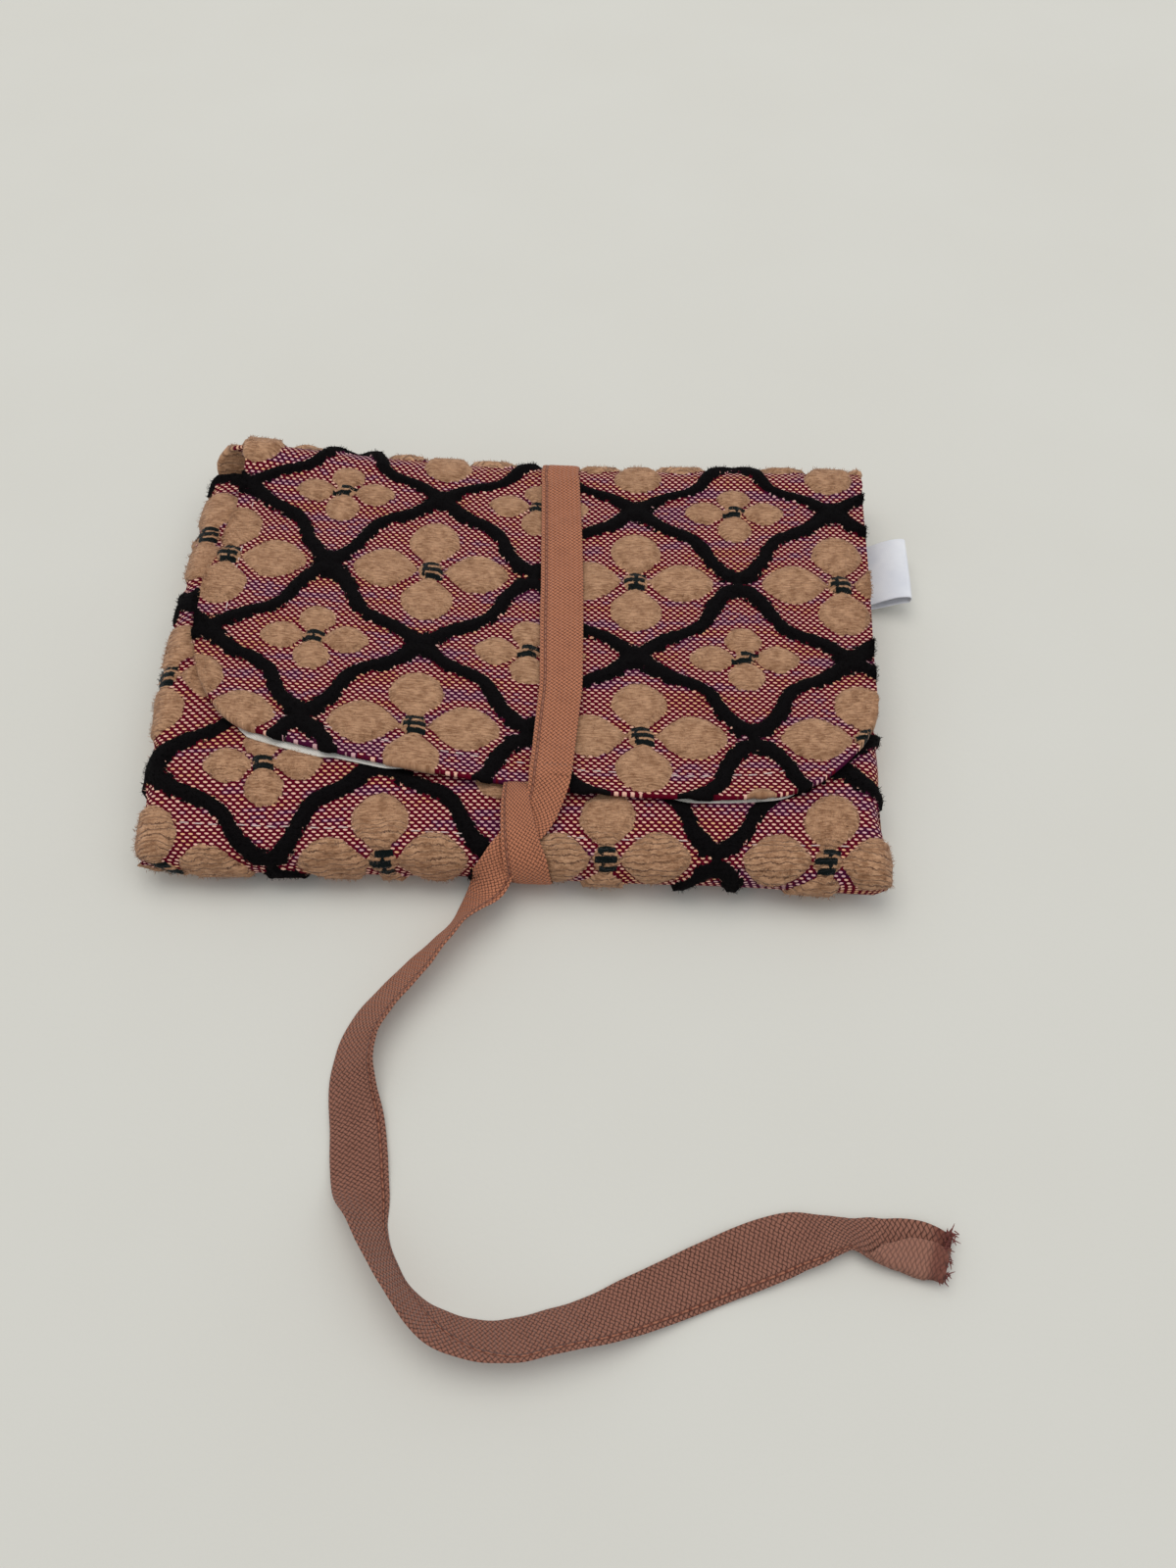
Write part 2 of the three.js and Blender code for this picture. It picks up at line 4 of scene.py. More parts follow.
import bpy
import mathutils
import numpy as np
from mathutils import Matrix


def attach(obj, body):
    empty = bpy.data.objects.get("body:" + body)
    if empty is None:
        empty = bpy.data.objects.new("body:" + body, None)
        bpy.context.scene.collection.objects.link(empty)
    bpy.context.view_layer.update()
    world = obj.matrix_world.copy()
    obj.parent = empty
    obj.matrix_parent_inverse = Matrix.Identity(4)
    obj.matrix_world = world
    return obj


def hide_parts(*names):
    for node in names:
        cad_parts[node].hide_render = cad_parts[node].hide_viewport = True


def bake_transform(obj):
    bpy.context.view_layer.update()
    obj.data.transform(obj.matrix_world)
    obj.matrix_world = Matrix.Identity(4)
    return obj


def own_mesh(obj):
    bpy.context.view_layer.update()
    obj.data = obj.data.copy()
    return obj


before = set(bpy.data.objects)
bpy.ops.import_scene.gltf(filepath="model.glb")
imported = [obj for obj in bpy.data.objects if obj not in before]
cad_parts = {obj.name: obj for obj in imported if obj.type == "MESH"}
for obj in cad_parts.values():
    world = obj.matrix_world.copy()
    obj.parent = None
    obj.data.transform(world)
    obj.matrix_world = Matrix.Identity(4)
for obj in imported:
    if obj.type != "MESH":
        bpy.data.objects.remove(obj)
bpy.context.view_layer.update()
MM = 0.001
rng = np.random.default_rng(7)

# Thicknesses and places in the model, in millimetres. Spacings are those of the points on a cloth
CLOTH = 1.6
LINING_OUT, LINING_IN = CLOTH + 0.25, CLOTH + 0.62
SPACING, STITCH_SPACING = 0.86, 1.2
LINING_SPACING, FRONT_LINING_SPACING = 1.7, 1.9
REAR_Y, REAR_R = 53.4, 7.1
FRONT_Y, FRONT_R = -54.7, 5.8
FRONT_ROWS = 10
MOUTH_Y = 47.0
BODY_MIDDLE = -6.0
FLAP_FRONT = -42.6
FLAP_LOW_X = 28.0
FLAP_LEFT, FLAP_RIGHT = -82.0, 76.0
LEFT_RISE, RIGHT_RISE = 16.9, 6.0
LEFT_CORNER, RIGHT_CORNER = 14.0, 26.0
LEAF_FRONT = -56.2
STRIP = 0.26
TIE_X = -1.0
TAPE_WIDTH = 9.6
FRAY_THREADS = 150

# Woven pattern: one repeat, the dark lines, the ground weave and the pile
REPEAT_U, REPEAT_V = 49.8, 47.6
LINE_WIDTH = 3.7
BULGE, SHOULDER = 0.12, 0.66
CROSSING_GAP = 2.7
WEAVE_ROW, WEAVE_COLUMN = 0.82, 1.7
GROUND = 0.4
PILE = 1.25
TUFT = 1.25
FIBRE_WIDTH, FIBRE_ROOT = 0.075, 0.25

# Fabric coordinate V in the middle of the front fold, where the cloths of the back and the front meet,
# where the rear fold ends on top, and how far V lies behind Y on the flap
FABRIC_JOIN = 163.6
FABRIC_REAR = 12.4
FABRIC_SHIFT = 41.0


def smooth(t):
    c = np.clip(t, 0.0, 1.0)
    return c * c * (3.0 - 2.0 * c)


def lerp(a, b, t):
    return a + (b - a) * t


def unit(vectors):
    """Vectors of length 1 in the same directions."""
    return vectors / np.maximum(np.linalg.norm(vectors, axis=-1, keepdims=True), 1e-9)


def points(*parts):
    """Places or other rows of numbers, from one array for each number."""
    return np.stack(np.broadcast_arrays(*parts), axis=-1)


def swell(x, y):
    """A slow, gentle waviness between about -1 and 1."""
    return (
        0.45 * np.sin(x * 0.061 + 0.7) * np.cos(y * 0.083 - 0.4)
        + 0.35 * np.sin(x * 0.127 - y * 0.071 + 2.1)
        + 0.20 * np.cos(x * 0.031 + y * 0.149 + 0.9)
    )


# ---- meshes

def add_object(name, data):
    obj = bpy.data.objects.new(name, data)
    bpy.context.scene.collection.objects.link(obj)
    return obj


def make_object(name, vertices, faces, material, attributes=None, smooth_faces=True):
    mesh = bpy.data.meshes.new(name)
    mesh.from_pydata((np.asarray(vertices) * MM).tolist(), [], faces)
    for key, values in (attributes or {}).items():
        values = np.asarray(values, dtype=np.float32)
        kind, item = ("FLOAT_VECTOR", "vector") if values.ndim == 2 else ("FLOAT", "value")
        mesh.attributes.new(key, kind, "POINT").data.foreach_set(item, values.ravel())
    mesh.materials.append(material)
    mesh.polygons.foreach_set("use_smooth", [smooth_faces] * len(mesh.polygons))
    mesh.validate()
    mesh.update()
    return add_object(name, mesh)


def grid_faces(rows, columns, offset=0, flip=False):
    i, j = np.meshgrid(np.arange(rows - 1), np.arange(columns - 1), indexing="ij")
    a = (offset + i * columns + j).ravel()
    quads = np.stack([a, a + 1, a + columns + 1, a + columns], axis=1)
    return quads[:, ::-1] if flip else quads


def border_places(rows, columns):
    """Row and column of each point round the edge of a grid."""
    top = [(0, j) for j in range(columns)]
    right = [(i, columns - 1) for i in range(1, rows)]
    bottom = [(rows - 1, j) for j in range(columns - 2, -1, -1)]
    left = [(i, 0) for i in range(rows - 2, 0, -1)]
    return np.array(top + right + bottom + left).T


def ring_faces(first, second):
    return np.stack([np.roll(first, -1), first, second, np.roll(second, -1)], axis=1)


def shell_object(name, outer, inner, material, layers=None, steps=3):
    """Joins two grids of points by a rounded border. Each layer is a grid of values for the points."""
    rows, columns = outer.shape[:2]
    count = rows * columns
    i, j = border_places(rows, columns)
    top, low = outer[i, j], inner[i, j]
    away = unit(top - outer[np.clip(i, 1, rows - 2), np.clip(j, 1, columns - 2)])
    half = np.linalg.norm(top - low, axis=1, keepdims=True) / 2
    ids = i * columns + j
    vertices = [outer.reshape(-1, 3), inner.reshape(-1, 3)]
    faces = [grid_faces(rows, columns), grid_faces(rows, columns, count, flip=True)]
    previous = ids
    for k in range(1, steps + 1):
        angle = math.pi * k / (steps + 1)
        ring = (top + low) / 2 + (top - low) / 2 * math.cos(angle) + away * half * math.sin(angle)
        vertices.append(ring)
        current = 2 * count + (k - 1) * len(ids) + np.arange(len(ids))
        faces.append(ring_faces(previous, current))
        previous = current
    faces.append(ring_faces(previous, ids + count))
    source = np.concatenate([np.arange(count)] * 2 + [ids] * steps)
    values = {key: grid.reshape(-1, *grid.shape[2:])[source] for key, grid in (layers or {}).items()}
    return make_object(name, np.concatenate(vertices), np.concatenate(faces).tolist(), material, values)


def tube_faces(rings, sides):
    """Faces of a tube made of rings of points, closed at both ends."""
    k = np.arange(sides)
    ahead = (k + 1) % sides
    quads = np.stack([k, ahead, ahead + sides, k + sides], axis=1)
    quads = quads + sides * np.arange(rings - 1)[:, None, None]
    ends = [list(range(sides))[::-1], list(range((rings - 1) * sides, rings * sides))]
    return quads.reshape(-1, 4).tolist() + ends


def rods(starts, ends, radius, taper=1.0, sides=5):
    """Short thick threads from start points to end points, as one mesh."""
    vertices = []
    faces = []
    tube = tube_faces(4, sides)
    for a, b in zip(starts, ends):
        along = b - a
        length = np.linalg.norm(along)
        along = along / max(length, 1e-9)
        helper = np.array([0.0, 0.0, 1.0]) if abs(along[2]) < 0.9 else np.array([1.0, 0.0, 0.0])
        across = np.cross(along, helper)
        across /= np.linalg.norm(across)
        up = np.cross(across, along)
        faces += [[len(vertices) + k for k in face] for face in tube]
        for share, scale in ((0.0, 0.35), (0.2, 1.0), (0.8, taper), (1.0, 0.35 * taper)):
            for k in range(sides):
                angle = 2 * math.pi * k / sides
                side = across * math.cos(angle) + up * math.sin(angle)
                vertices.append(a + along * length * share + side * radius * scale)
    return np.array(vertices), faces


def steps_along(line):
    """Length along a line of points, from 0 at its first."""
    return np.concatenate([[0], np.cumsum(np.linalg.norm(np.diff(line, axis=0), axis=1))])


def places_on(line, where):
    """Each coordinate of the places at some lengths along a line of points."""
    return [np.interp(where, steps_along(line), column) for column in line.T]


# ---- woven pattern

def petal(along, side, centre, length, width, taper, point):
    """Signed distance in mm, positive inside a petal that points outwards."""
    a = (along - centre) / length
    w = 1.0 - taper * np.clip(-a, 0, 1) ** 2 - point * np.clip(a, 0, 1) ** 2
    return (1.0 - np.sqrt(a * a + (side / (width * w)) ** 2)) * min(length, width)


def flower(p, q, side, end, spot):
    """Four petals about the origin: side and end give centre, length, width, taper, point."""
    shape = petal(np.abs(p), q, *side)
    shape = np.maximum(shape, petal(np.abs(q), p, *end))
    return np.maximum(shape, spot - np.hypot(p, q))


def from_middle(value, size, shift):
    """Distance from the middle of the nearest repeat. A shift of 0.5 takes the repeats in between."""
    return value - size * (np.round(value / size - shift) + shift)


def pattern(u, v):
    """The cloth's woven figures at fabric coordinates, as signed distances in mm."""
    a = 2 * math.pi * u / REPEAT_U
    b = 2 * math.pi * v / REPEAT_V
    product = np.sin(a) * np.sin(b)
    level = np.cos(a) + np.cos(b) - BULGE * np.abs(product) - SHOULDER * product ** 4
    pull = BULGE * np.sign(product) + 4 * SHOULDER * product ** 3
    slope_u = (-np.sin(a) - pull * np.cos(a) * np.sin(b)) * 2 * math.pi / REPEAT_U
    slope_v = (-np.sin(b) - pull * np.sin(a) * np.cos(b)) * 2 * math.pi / REPEAT_V
    slope = np.sqrt(slope_u ** 2 + slope_v ** 2 + 0.04 ** 2)
    large_u, large_v = from_middle(u, REPEAT_U, 0.5), from_middle(v, REPEAT_V, 0.5)
    small_u, small_v = from_middle(u, REPEAT_U, 0), from_middle(v, REPEAT_V, 0)
    line = LINE_WIDTH / 2 - np.abs(level) / slope
    neck = np.exp(-(small_u / 3.4) ** 2) - 0.85 * np.exp(-(small_u / 1.0) ** 2)
    opening = np.exp(-(large_v / 1.0) ** 2) * neck
    line = line - CROSSING_GAP * opening * lerp(0.45, 1.0, smooth((u + 20) / 30))
    line = line - 0.7 * np.exp(-(large_u / 3.2) ** 2 - (small_v / 3.4) ** 2)
    large = flower(large_u, large_v, (11.2, 7.9, 6.2, 0.6, 0.35), (9.0, 6.8, 6.2, 0.55, 0.05), 3.0)
    small = flower(small_u, small_v, (7.5, 5.2, 4.1, 0.5, 0.3), (5.3, 4.4, 4.3, 0.5, 0.0), 2.4)
    return {"line": line, "petal": np.maximum(large, small), "slack": 0 * u}


def pile_height(figures, v):
    """How far the pile stands above the ground weave."""
    line = smooth((figures["line"] + 0.1) / 1.1)
    leaf = smooth((figures["petal"] + 0.1) / 1.3)
    ribs = 0.93 + 0.07 * np.cos(2 * math.pi * v / TUFT)
    return PILE * np.maximum(line, 0.95 * leaf) * ribs


# ---- materials

class Value:
    """An output of a node. Arithmetic on it adds further nodes."""

    def __init__(self, shader, socket):
        self.shader = shader
        self.socket = socket

    def __add__(self, other):
        return self.shader.math("ADD", self, other)

    def __sub__(self, other):
        return self.shader.math("SUBTRACT", self, other)

    def __rsub__(self, other):
        return self.shader.math("SUBTRACT", other, self)

    def __mul__(self, other):
        return self.shader.math("MULTIPLY", self, other)

    def __truediv__(self, other):
        return self.shader.math("DIVIDE", self, other)

    def __abs__(self):
        return self.shader.math("ABSOLUTE", self)


class Shader:
    """Short helper that builds a material's nodes."""

    def __init__(self, name, roughness=0.9, sheen=0.0):
        self.material = bpy.data.materials.new(name)
        self.material.use_nodes = True
        self.tree = self.material.node_tree
        self.tree.nodes.clear()
        out = self.tree.nodes.new("ShaderNodeOutputMaterial")
        self.surface = self.tree.nodes.new("ShaderNodeBsdfPrincipled")
        self.tree.links.new(self.surface.outputs["BSDF"], out.inputs["Surface"])
        self.put("Roughness", roughness)
        self.put("Specular IOR Level", 0.12)
        self.put("Sheen Weight", sheen)

    def put(self, name, value, node=None):
        """Sets an input of a node, which is the surface itself if none is given."""
        socket = (node or self.surface).inputs[name]
        if isinstance(value, Value):
            self.tree.links.new(value.socket, socket)
        else:
            socket.default_value = value

    def node(self, kind, output, inputs, **settings):
        """Adds a node, sets it up, and gives one of its outputs."""
        node = self.tree.nodes.new(kind)
        for name, value in settings.items():
            setattr(node, name, value)
        for name, value in inputs:
            self.put(name, value, node)
        return Value(self, node.outputs[output])

    def math(self, operation, *values):
        return self.node("ShaderNodeMath", 0, enumerate(values), operation=operation)

    def floor(self, value):
        return self.math("FLOOR", value)

    def fract(self, value):
        return self.math("FRACT", value)

    def larger(self, one, two):
        return self.math("MAXIMUM", one, two)

    def step(self, value, low, high):
        """Goes smoothly from 0 at low to 1 at high."""
        inputs = (("Value", value), ("From Min", low), ("From Max", high))
        return self.node("ShaderNodeMapRange", "Result", inputs, interpolation_type="SMOOTHSTEP")

    def mix(self, share, one, two):
        inputs = (("Factor", share), ("A", one), ("B", two))
        return self.node("ShaderNodeMix", "Result", inputs, data_type="RGBA")

    def attribute(self, name, output="Fac"):
        return self.node("ShaderNodeAttribute", output, (), attribute_name=name)

    def place(self):
        return self.node("ShaderNodeTexCoord", "Object", ())

    def split(self, vector):
        node = self.tree.nodes.new("ShaderNodeSeparateXYZ")
        self.put(0, vector, node)
        return [Value(self, socket) for socket in node.outputs]

    def vector(self, *parts):
        return self.node("ShaderNodeCombineXYZ", 0, enumerate(parts))

    def noise(self, vector, scale, detail):
        inputs = (("Vector", vector), ("Scale", scale), ("Detail", detail))
        return self.node("ShaderNodeTexNoise", "Fac", inputs)

    def random(self, vector):
        return self.node("ShaderNodeTexWhiteNoise", "Value", (("Vector", vector),), noise_dimensions="3D")

    def finish(self, colour, height, depth):
        self.put("Base Color", colour)
        self.put("Normal", self.node("ShaderNodeBump", "Normal", (("Distance", depth), ("Height", height))))
        return self.material


def rgb(red, green, blue):
    """A colour as seen on screen, as the linear value that a shader takes."""
    def linear(c):
        c = c / 255.0
        return c / 12.92 if c <= 0.04045 else ((c + 0.055) / 1.055) ** 2.4
    return (linear(red), linear(green), linear(blue), 1.0)


CRIMSON = rgb(94, 0, 26)
PURPLE = rgb(62, 12, 52)
CREAM = rgb(250, 198, 176)
GOLD = rgb(236, 176, 108)
LAVENDER = rgb(196, 156, 182)
TAN = rgb(213, 166, 129)
TAN_DARK = rgb(152, 109, 78)
# Painted shade for the gaps between the pile's rows.
RIB_GAP_PAINTED_SHADE = rgb(108, 73, 54)
BLACK = rgb(9, 6, 7)
GREEN_BLACK = rgb(10, 20, 19)


def centred(s, value, size, offset):
    """Distance from the middle of the repeat that a value lies in, and the number of that repeat."""
    turn = value / size + offset
    return (s.fract(turn) - 0.5) * size, s.floor(turn)


def short_bars(s, u, v, offset, bars, joint):
    """Signed distance of the few dark bars in a flower's middle, shifted a little in each flower."""
    p, column = centred(s, u, REPEAT_U, offset)
    q, row = centred(s, v, REPEAT_V, offset)
    luck = s.random(s.vector(column, row, offset + 4.0)) - 0.5
    stem = s.math("MINIMUM", 0.42 - abs(p - luck * 3.2), joint - abs(q))
    best = stem + (s.noise(s.vector(u, v, 0.0), 0.9, 2.0) - 0.56) * 3.0
    for height, shift, half in bars:
        middle = luck * (1.6 if height > 0 else -1.4) + shift
        best = s.larger(best, s.math("MINIMUM", half - abs(p - middle), 0.56 - abs(q - height)))
    return best


def patterned_cloth():
    """Brocade: a two-colour ground weave with pile lines and petals."""
    s = Shader("patterned_cloth", 0.95, 0.08)
    fabric = s.attribute("fabric", "Vector")
    u, v, bend = s.split(fabric)
    tuft_row = s.floor(v / TUFT)
    tuft_column = s.floor(u / 1.3 + tuft_row * 0.37)
    ragged = s.random(s.vector(tuft_row, tuft_column, 3.0)) - 0.5
    fray = s.noise(fabric, 1.9, 3.0) - 0.5
    line = s.step(s.attribute("line") + (ragged * 0.8 + fray), -0.1, 0.12)
    leaf = s.step(s.attribute("petal") + (ragged * 0.45 + fray * 0.9), -0.1, 0.15)
    large = short_bars(s, u, v, 0.0, ((1.95, 0.5, 1.9), (0.0, -0.2, 2.4), (-1.95, 0.3, 1.9)), 1.9)
    small = short_bars(s, u, v, 0.5, ((1.0, 0.4, 2.0), (-1.0, -0.4, 2.1)), 1.2)
    dash = s.step(s.larger(large, small) + fray * 0.45, -0.24, -0.02)

    row = (v - s.attribute("slack")) / WEAVE_ROW
    row_index = s.floor(row)
    column = u / WEAVE_COLUMN + s.math("MODULO", abs(row_index), 2.0) * 0.5
    over = s.fract(row) - 0.5
    lean = s.fract(column) - 0.5 + over * 0.22
    reach = s.math("POWER", lean / 0.31, 2.0) + s.math("POWER", over / 0.33, 2.0)
    dot = s.step(reach, 1.05, 0.65)
    band = s.noise(s.vector(u * 0.035, row_index * 0.23, 1.7), 1.0, 2.0)
    mood = band + s.random(s.vector(row_index, s.floor(column), 9.0)) * 0.16
    warm = s.step(mood, 0.62, 0.74)
    cool = s.step(mood, 0.54, 0.44)
    light = s.mix(cool * 0.5, s.mix(warm * 0.6, CREAM, GOLD), LAVENDER)
    ground = s.mix(dot, s.mix(cool * 0.75, CRIMSON, PURPLE), light)

    # Painted shade: the gaps between the pile's rows on the petals are painted darker, more where the cloth
    # bends and they open.
    wander = s.noise(s.vector(u * 0.16, v * 0.22, 5.0), 1.0, 2.0)
    rib = abs(s.fract(v / TUFT + wander * 3.0 + fray * 0.7) - 0.5)
    gap = s.step(rib, 0.36, 0.5) * (bend * 0.85 + 0.12)
    patch = s.noise(fabric, 0.35, 3.0)
    grain = s.noise(fabric, 5.5, 3.0)
    streak = s.noise(s.vector(u * 0.55, v * 2.6, 2.0), 1.0, 3.0)
    brushed = patch * 0.4 + grain * 0.3 + streak * 0.7
    tan = s.mix(s.step(brushed, 0.52, 0.88), TAN_DARK, TAN)
    tan = s.mix(gap * s.step(patch, 0.35, 0.6), tan, RIB_GAP_PAINTED_SHADE)
    colour = s.mix(line, s.mix(leaf, ground, tan), BLACK)
    colour = s.mix(dash, colour, GREEN_BLACK)

    pile = s.larger(leaf, line)
    fibres = pile * (grain * 1.1 + streak * 0.9 - gap)
    height = dot * (1.0 - pile) * 0.7 + fibres * 0.9
    s.put("Sheen Weight", leaf * 0.2)
    s.put("Sheen Roughness", 0.4)
    return s.finish(colour, height, 0.00022)


TAPE = rgb(204, 132, 98)
TAPE_DARK = rgb(80, 40, 28)
# Tape colours for painted shade: the free tail is painted darker along its length.
TAPE_PAINTED_SHADE = rgb(158, 108, 90)
TAPE_PAINTED_SHADE_DARK = rgb(62, 34, 28)
TAPE_BACK = rgb(168, 120, 102)
# Painted shade for the folded, crumpled end of the tape.
TAPE_END_PAINTED_SHADE = rgb(110, 58, 50)
# The stitch thread's colour, and painted shade for the groove that the stitching presses in.
STITCH, STITCH_GROOVE_PAINTED_SHADE = rgb(176, 116, 92), rgb(112, 62, 48)
FOLD_RADIUS = 0.8


def tie_cloth():
    """Bias tape: diagonal threads, a fold line and one row of stitches near an edge."""
    s = Shader("tie_cloth", 0.85, 0.1)
    tape = s.attribute("tape", "Vector")
    across, along, side = s.split(tape)
    one = across + along
    two = across * 0.8 - along
    even = s.math("MODULO", abs(s.floor(one) + s.floor(two)), 2.0)
    weave = even * abs(s.math("SINE", one * math.pi)) + (1.0 - even) * abs(s.math("SINE", two * math.pi))
    slub = s.noise(s.vector(one * 0.25, two * 1.6, 0.0), 1.0, 3.0)
    shade = s.step(weave * 0.85 + slub * 0.45, 0.15, 1.0)
    # Painted shade: along the free tail the tape's colours turn darker.
    painted_shade = s.attribute("painted_shade")
    colour = s.mix(shade, s.mix(painted_shade, TAPE_DARK, TAPE_PAINTED_SHADE_DARK), s.mix(painted_shade, TAPE, TAPE_PAINTED_SHADE))
    colour = s.mix(s.step(s.noise(tape, 0.16, 3.0), 0.45, 0.7) * 0.1, colour, TAPE_DARK)
    back = s.step(side, 0.3, -0.3)
    colour = s.mix(back * 0.55, colour, TAPE_BACK)
    # Painted shade: the last few millimetres of the tape, where it is crumpled and folded over, are painted
    # darker.
    colour = s.mix(s.step(s.attribute("end"), 0.2, 1.0) * 0.65, colour, TAPE_END_PAINTED_SHADE)
    seam = abs(s.attribute("seam"))
    groove = s.step(seam, 0.42, 0.1) * (1.0 - back)
    stitch = groove * s.step(s.fract(along / 1.9), 0.3, 0.42)
    # Painted shade: the stitched groove is painted darker.
    colour = s.mix(groove * 0.75, colour, STITCH_GROOVE_PAINTED_SHADE)
    colour = s.mix(stitch * s.step(seam, 0.2, 0.08), colour, STITCH)
    return s.finish(colour, weave * 0.8 - groove * 1.3, 0.0003)


def woven_white(name, colour, dark, pitch, roughness, sheen, depth):
    """Plain or satin white cloth with a fine weave."""
    s = Shader(name, roughness, sheen)
    place = s.place()
    x, y, z = s.split(place)
    wave = 2 * math.pi / pitch
    weave = s.math("SINE", x * wave) * s.math("SINE", (y + z) * wave)
    patch = s.noise(place, 90.0, 4.0)
    mixed = s.mix(s.step(weave * 0.2 + patch, 0.3, 0.75), dark, colour)
    return s.finish(mixed, weave * 0.5 + patch, depth)


def thread_material(name, colour, dark):
    s = Shader(name, 0.7, 0.1)
    twist = s.noise(s.place(), 2600.0, 2.0)
    return s.finish(s.mix(twist, dark, colour), twist, 0.0001)


def floor_material():
    s = Shader("pale_floor")
    place = s.place()
    colour = s.mix(s.noise(place, 14.0, 3.0), rgb(225, 222, 212), rgb(230, 228, 219))
    return s.finish(colour, s.noise(place, 900.0, 2.0), 0.00003)


cloth = patterned_cloth()
tie_material = tie_cloth()
lining_material = woven_white("lining_cloth", rgb(244, 241, 232), rgb(220, 214, 202),
                              0.0006, 0.9, 0.1, 0.00008)
label_material = woven_white("label_satin", rgb(248, 248, 250), rgb(226, 228, 236),
                             0.0004, 0.45, 0.2, 0.00003)
stitch_pale = thread_material("stitch_pale", rgb(242, 224, 218), rgb(204, 166, 162))
fray_material = thread_material("tie_thread", rgb(150, 88, 76), rgb(92, 40, 44))


# ---- camera, floor, light

def add_camera():
    data = bpy.data.cameras.new("photo_camera")
    data.sensor_fit = "HORIZONTAL"
    data.sensor_width = 36.0
    data.lens = 36.0
    data.clip_start = 0.01
    data.clip_end = 10.0
    camera = add_object("photo_camera", data)
    turn = (
        mathutils.Matrix.Rotation(math.radians(2.248), 4, "Z")
        @ mathutils.Matrix.Rotation(math.radians(32.953), 4, "X")
        @ mathutils.Matrix.Rotation(math.radians(0.538), 4, "Z")
    )
    place = mathutils.Matrix.Translation((0.015865, -0.179087, 0.226927))
    camera.matrix_world = place @ turn
    bpy.context.scene.camera = camera


def add_area(name, place, size, power, colour):
    """A round lamp that is aimed at the origin."""
    data = bpy.data.lights.new(name, "AREA")
    data.shape = "DISK"
    data.size = size
    data.energy = power
    data.color = colour
    light = add_object(name, data)
    light.location = place
    light.rotation_euler = (-mathutils.Vector(place)).to_track_quat("-Z", "Y").to_euler()


def add_surroundings():
    half = 1600.0
    corners = np.array([[-half, -half, 0], [half, -half, 0], [half, half, 0], [-half, half, 0]])
    floor = make_object("floor", corners, [(0, 1, 2, 3)], floor_material(), smooth_faces=False)
    world = bpy.data.worlds.new("studio")
    world.use_nodes = True
    tree = world.node_tree
    lit = tree.nodes["Background"]
    seen = tree.nodes.new("ShaderNodeBackground")
    for background, colour, strength in ((lit, (0.93, 0.96, 1.0, 1.0), 0.56),
                                         (seen, rgb(222, 221, 213), 1.0)):
        background.inputs["Color"].default_value = colour
        background.inputs["Strength"].default_value = strength
    path = tree.nodes.new("ShaderNodeLightPath")
    mixed = tree.nodes.new("ShaderNodeMixShader")
    tree.links.new(path.outputs["Is Camera Ray"], mixed.inputs[0])
    tree.links.new(lit.outputs["Background"], mixed.inputs[1])
    tree.links.new(seen.outputs["Background"], mixed.inputs[2])
    tree.links.new(mixed.outputs["Shader"], tree.nodes["World Output"].inputs["Surface"])
    bpy.context.scene.world = world
    add_area("window", (-0.35, 0.55, 1.90), 1.9, 12.6, (1.0, 0.98, 0.94))
    add_area("fill", (0.9, 0.1, 1.5), 1.6, 3.6, (0.97, 0.98, 1.0))


# ---- outer cloth

def fold_path(y, radius, angles):
    """A half-round fold that starts at Z = 0. Gives Y and Z along it, and the Y and Z of its normal."""
    ny, nz = np.cos(angles), np.sin(angles)
    return y + radius * ny, radius + radius * nz, ny, nz


def corner_rise(past, radius):
    """How far a round corner draws an edge back, at a distance past the corner's start."""
    into = np.clip(past, 0, radius)
    return radius - np.sqrt(np.maximum(radius ** 2 - into ** 2, 0))


def flap_edge(x, inset=0.0):
    """The Y of the flap's front edge: a bow, furthest forward right of the middle, and two corners."""
    x = np.clip(x, FLAP_LEFT, FLAP_RIGHT)
    to_left = np.maximum(FLAP_LOW_X - x, 0) / (FLAP_LOW_X - FLAP_LEFT - inset)
    to_right = np.maximum(x - FLAP_LOW_X, 0) / (FLAP_RIGHT - inset - FLAP_LOW_X)
    left_radius, right_radius = LEFT_CORNER - inset, RIGHT_CORNER - inset
    left = corner_rise(FLAP_LEFT + inset + left_radius - x, left_radius)
    right = corner_rise(x - (FLAP_RIGHT - inset - right_radius), right_radius)
    return FLAP_FRONT + inset + LEFT_RISE * to_left ** 2 + RIGHT_RISE * to_right ** 2 + left + right


def flap_columns(spacing):
    """Column places across the flap, close together at its two round corners."""
    turn_low = np.linspace(0, math.pi / 2, int(LEFT_CORNER * 1.57 / spacing))
    turn_high = np.linspace(math.pi / 2, 0, int(RIGHT_CORNER * 1.57 / spacing))
    low = FLAP_LEFT + LEFT_CORNER - LEFT_CORNER * np.cos(turn_low)
    high = FLAP_RIGHT - RIGHT_CORNER + RIGHT_CORNER * np.cos(turn_high)
    steps = int((high[0] - low[-1]) / spacing)
    middle = np.linspace(low[-1], high[0], steps)[1:-1]
    return np.concatenate([low, middle, high])


def body_side(y, share):
    """X across the body at a share from its left to its right side. The body is wider at the rear."""
    left = np.interp(y, [-60, -52, -40, -20, 2, 38, 60], [-84.4, -85.6, -87.6, -90.2, -91.6, -93.2, -93.4])
    right = np.interp(y, [-60, -30, 20, 60], [74.8, 75.4, 75.8, 76.2])
    return lerp(left, right, share)


def flap_side(y, share):
    """X across the flap at a share from its left to its right side."""
    left = np.interp(y, [-30, -20, -13, -4, 6, 16, 26, 36, 60],
                     [-78.6, -79.6, -81.2, -84.4, -85.2, -85, -83.6, -82.8, -82.6])
    right = lerp(74.8, 76.4, smooth((y + 30) / 70)) + 1.0 * np.exp(-((y + 23) / 8) ** 2)
    return lerp(left, right, share)


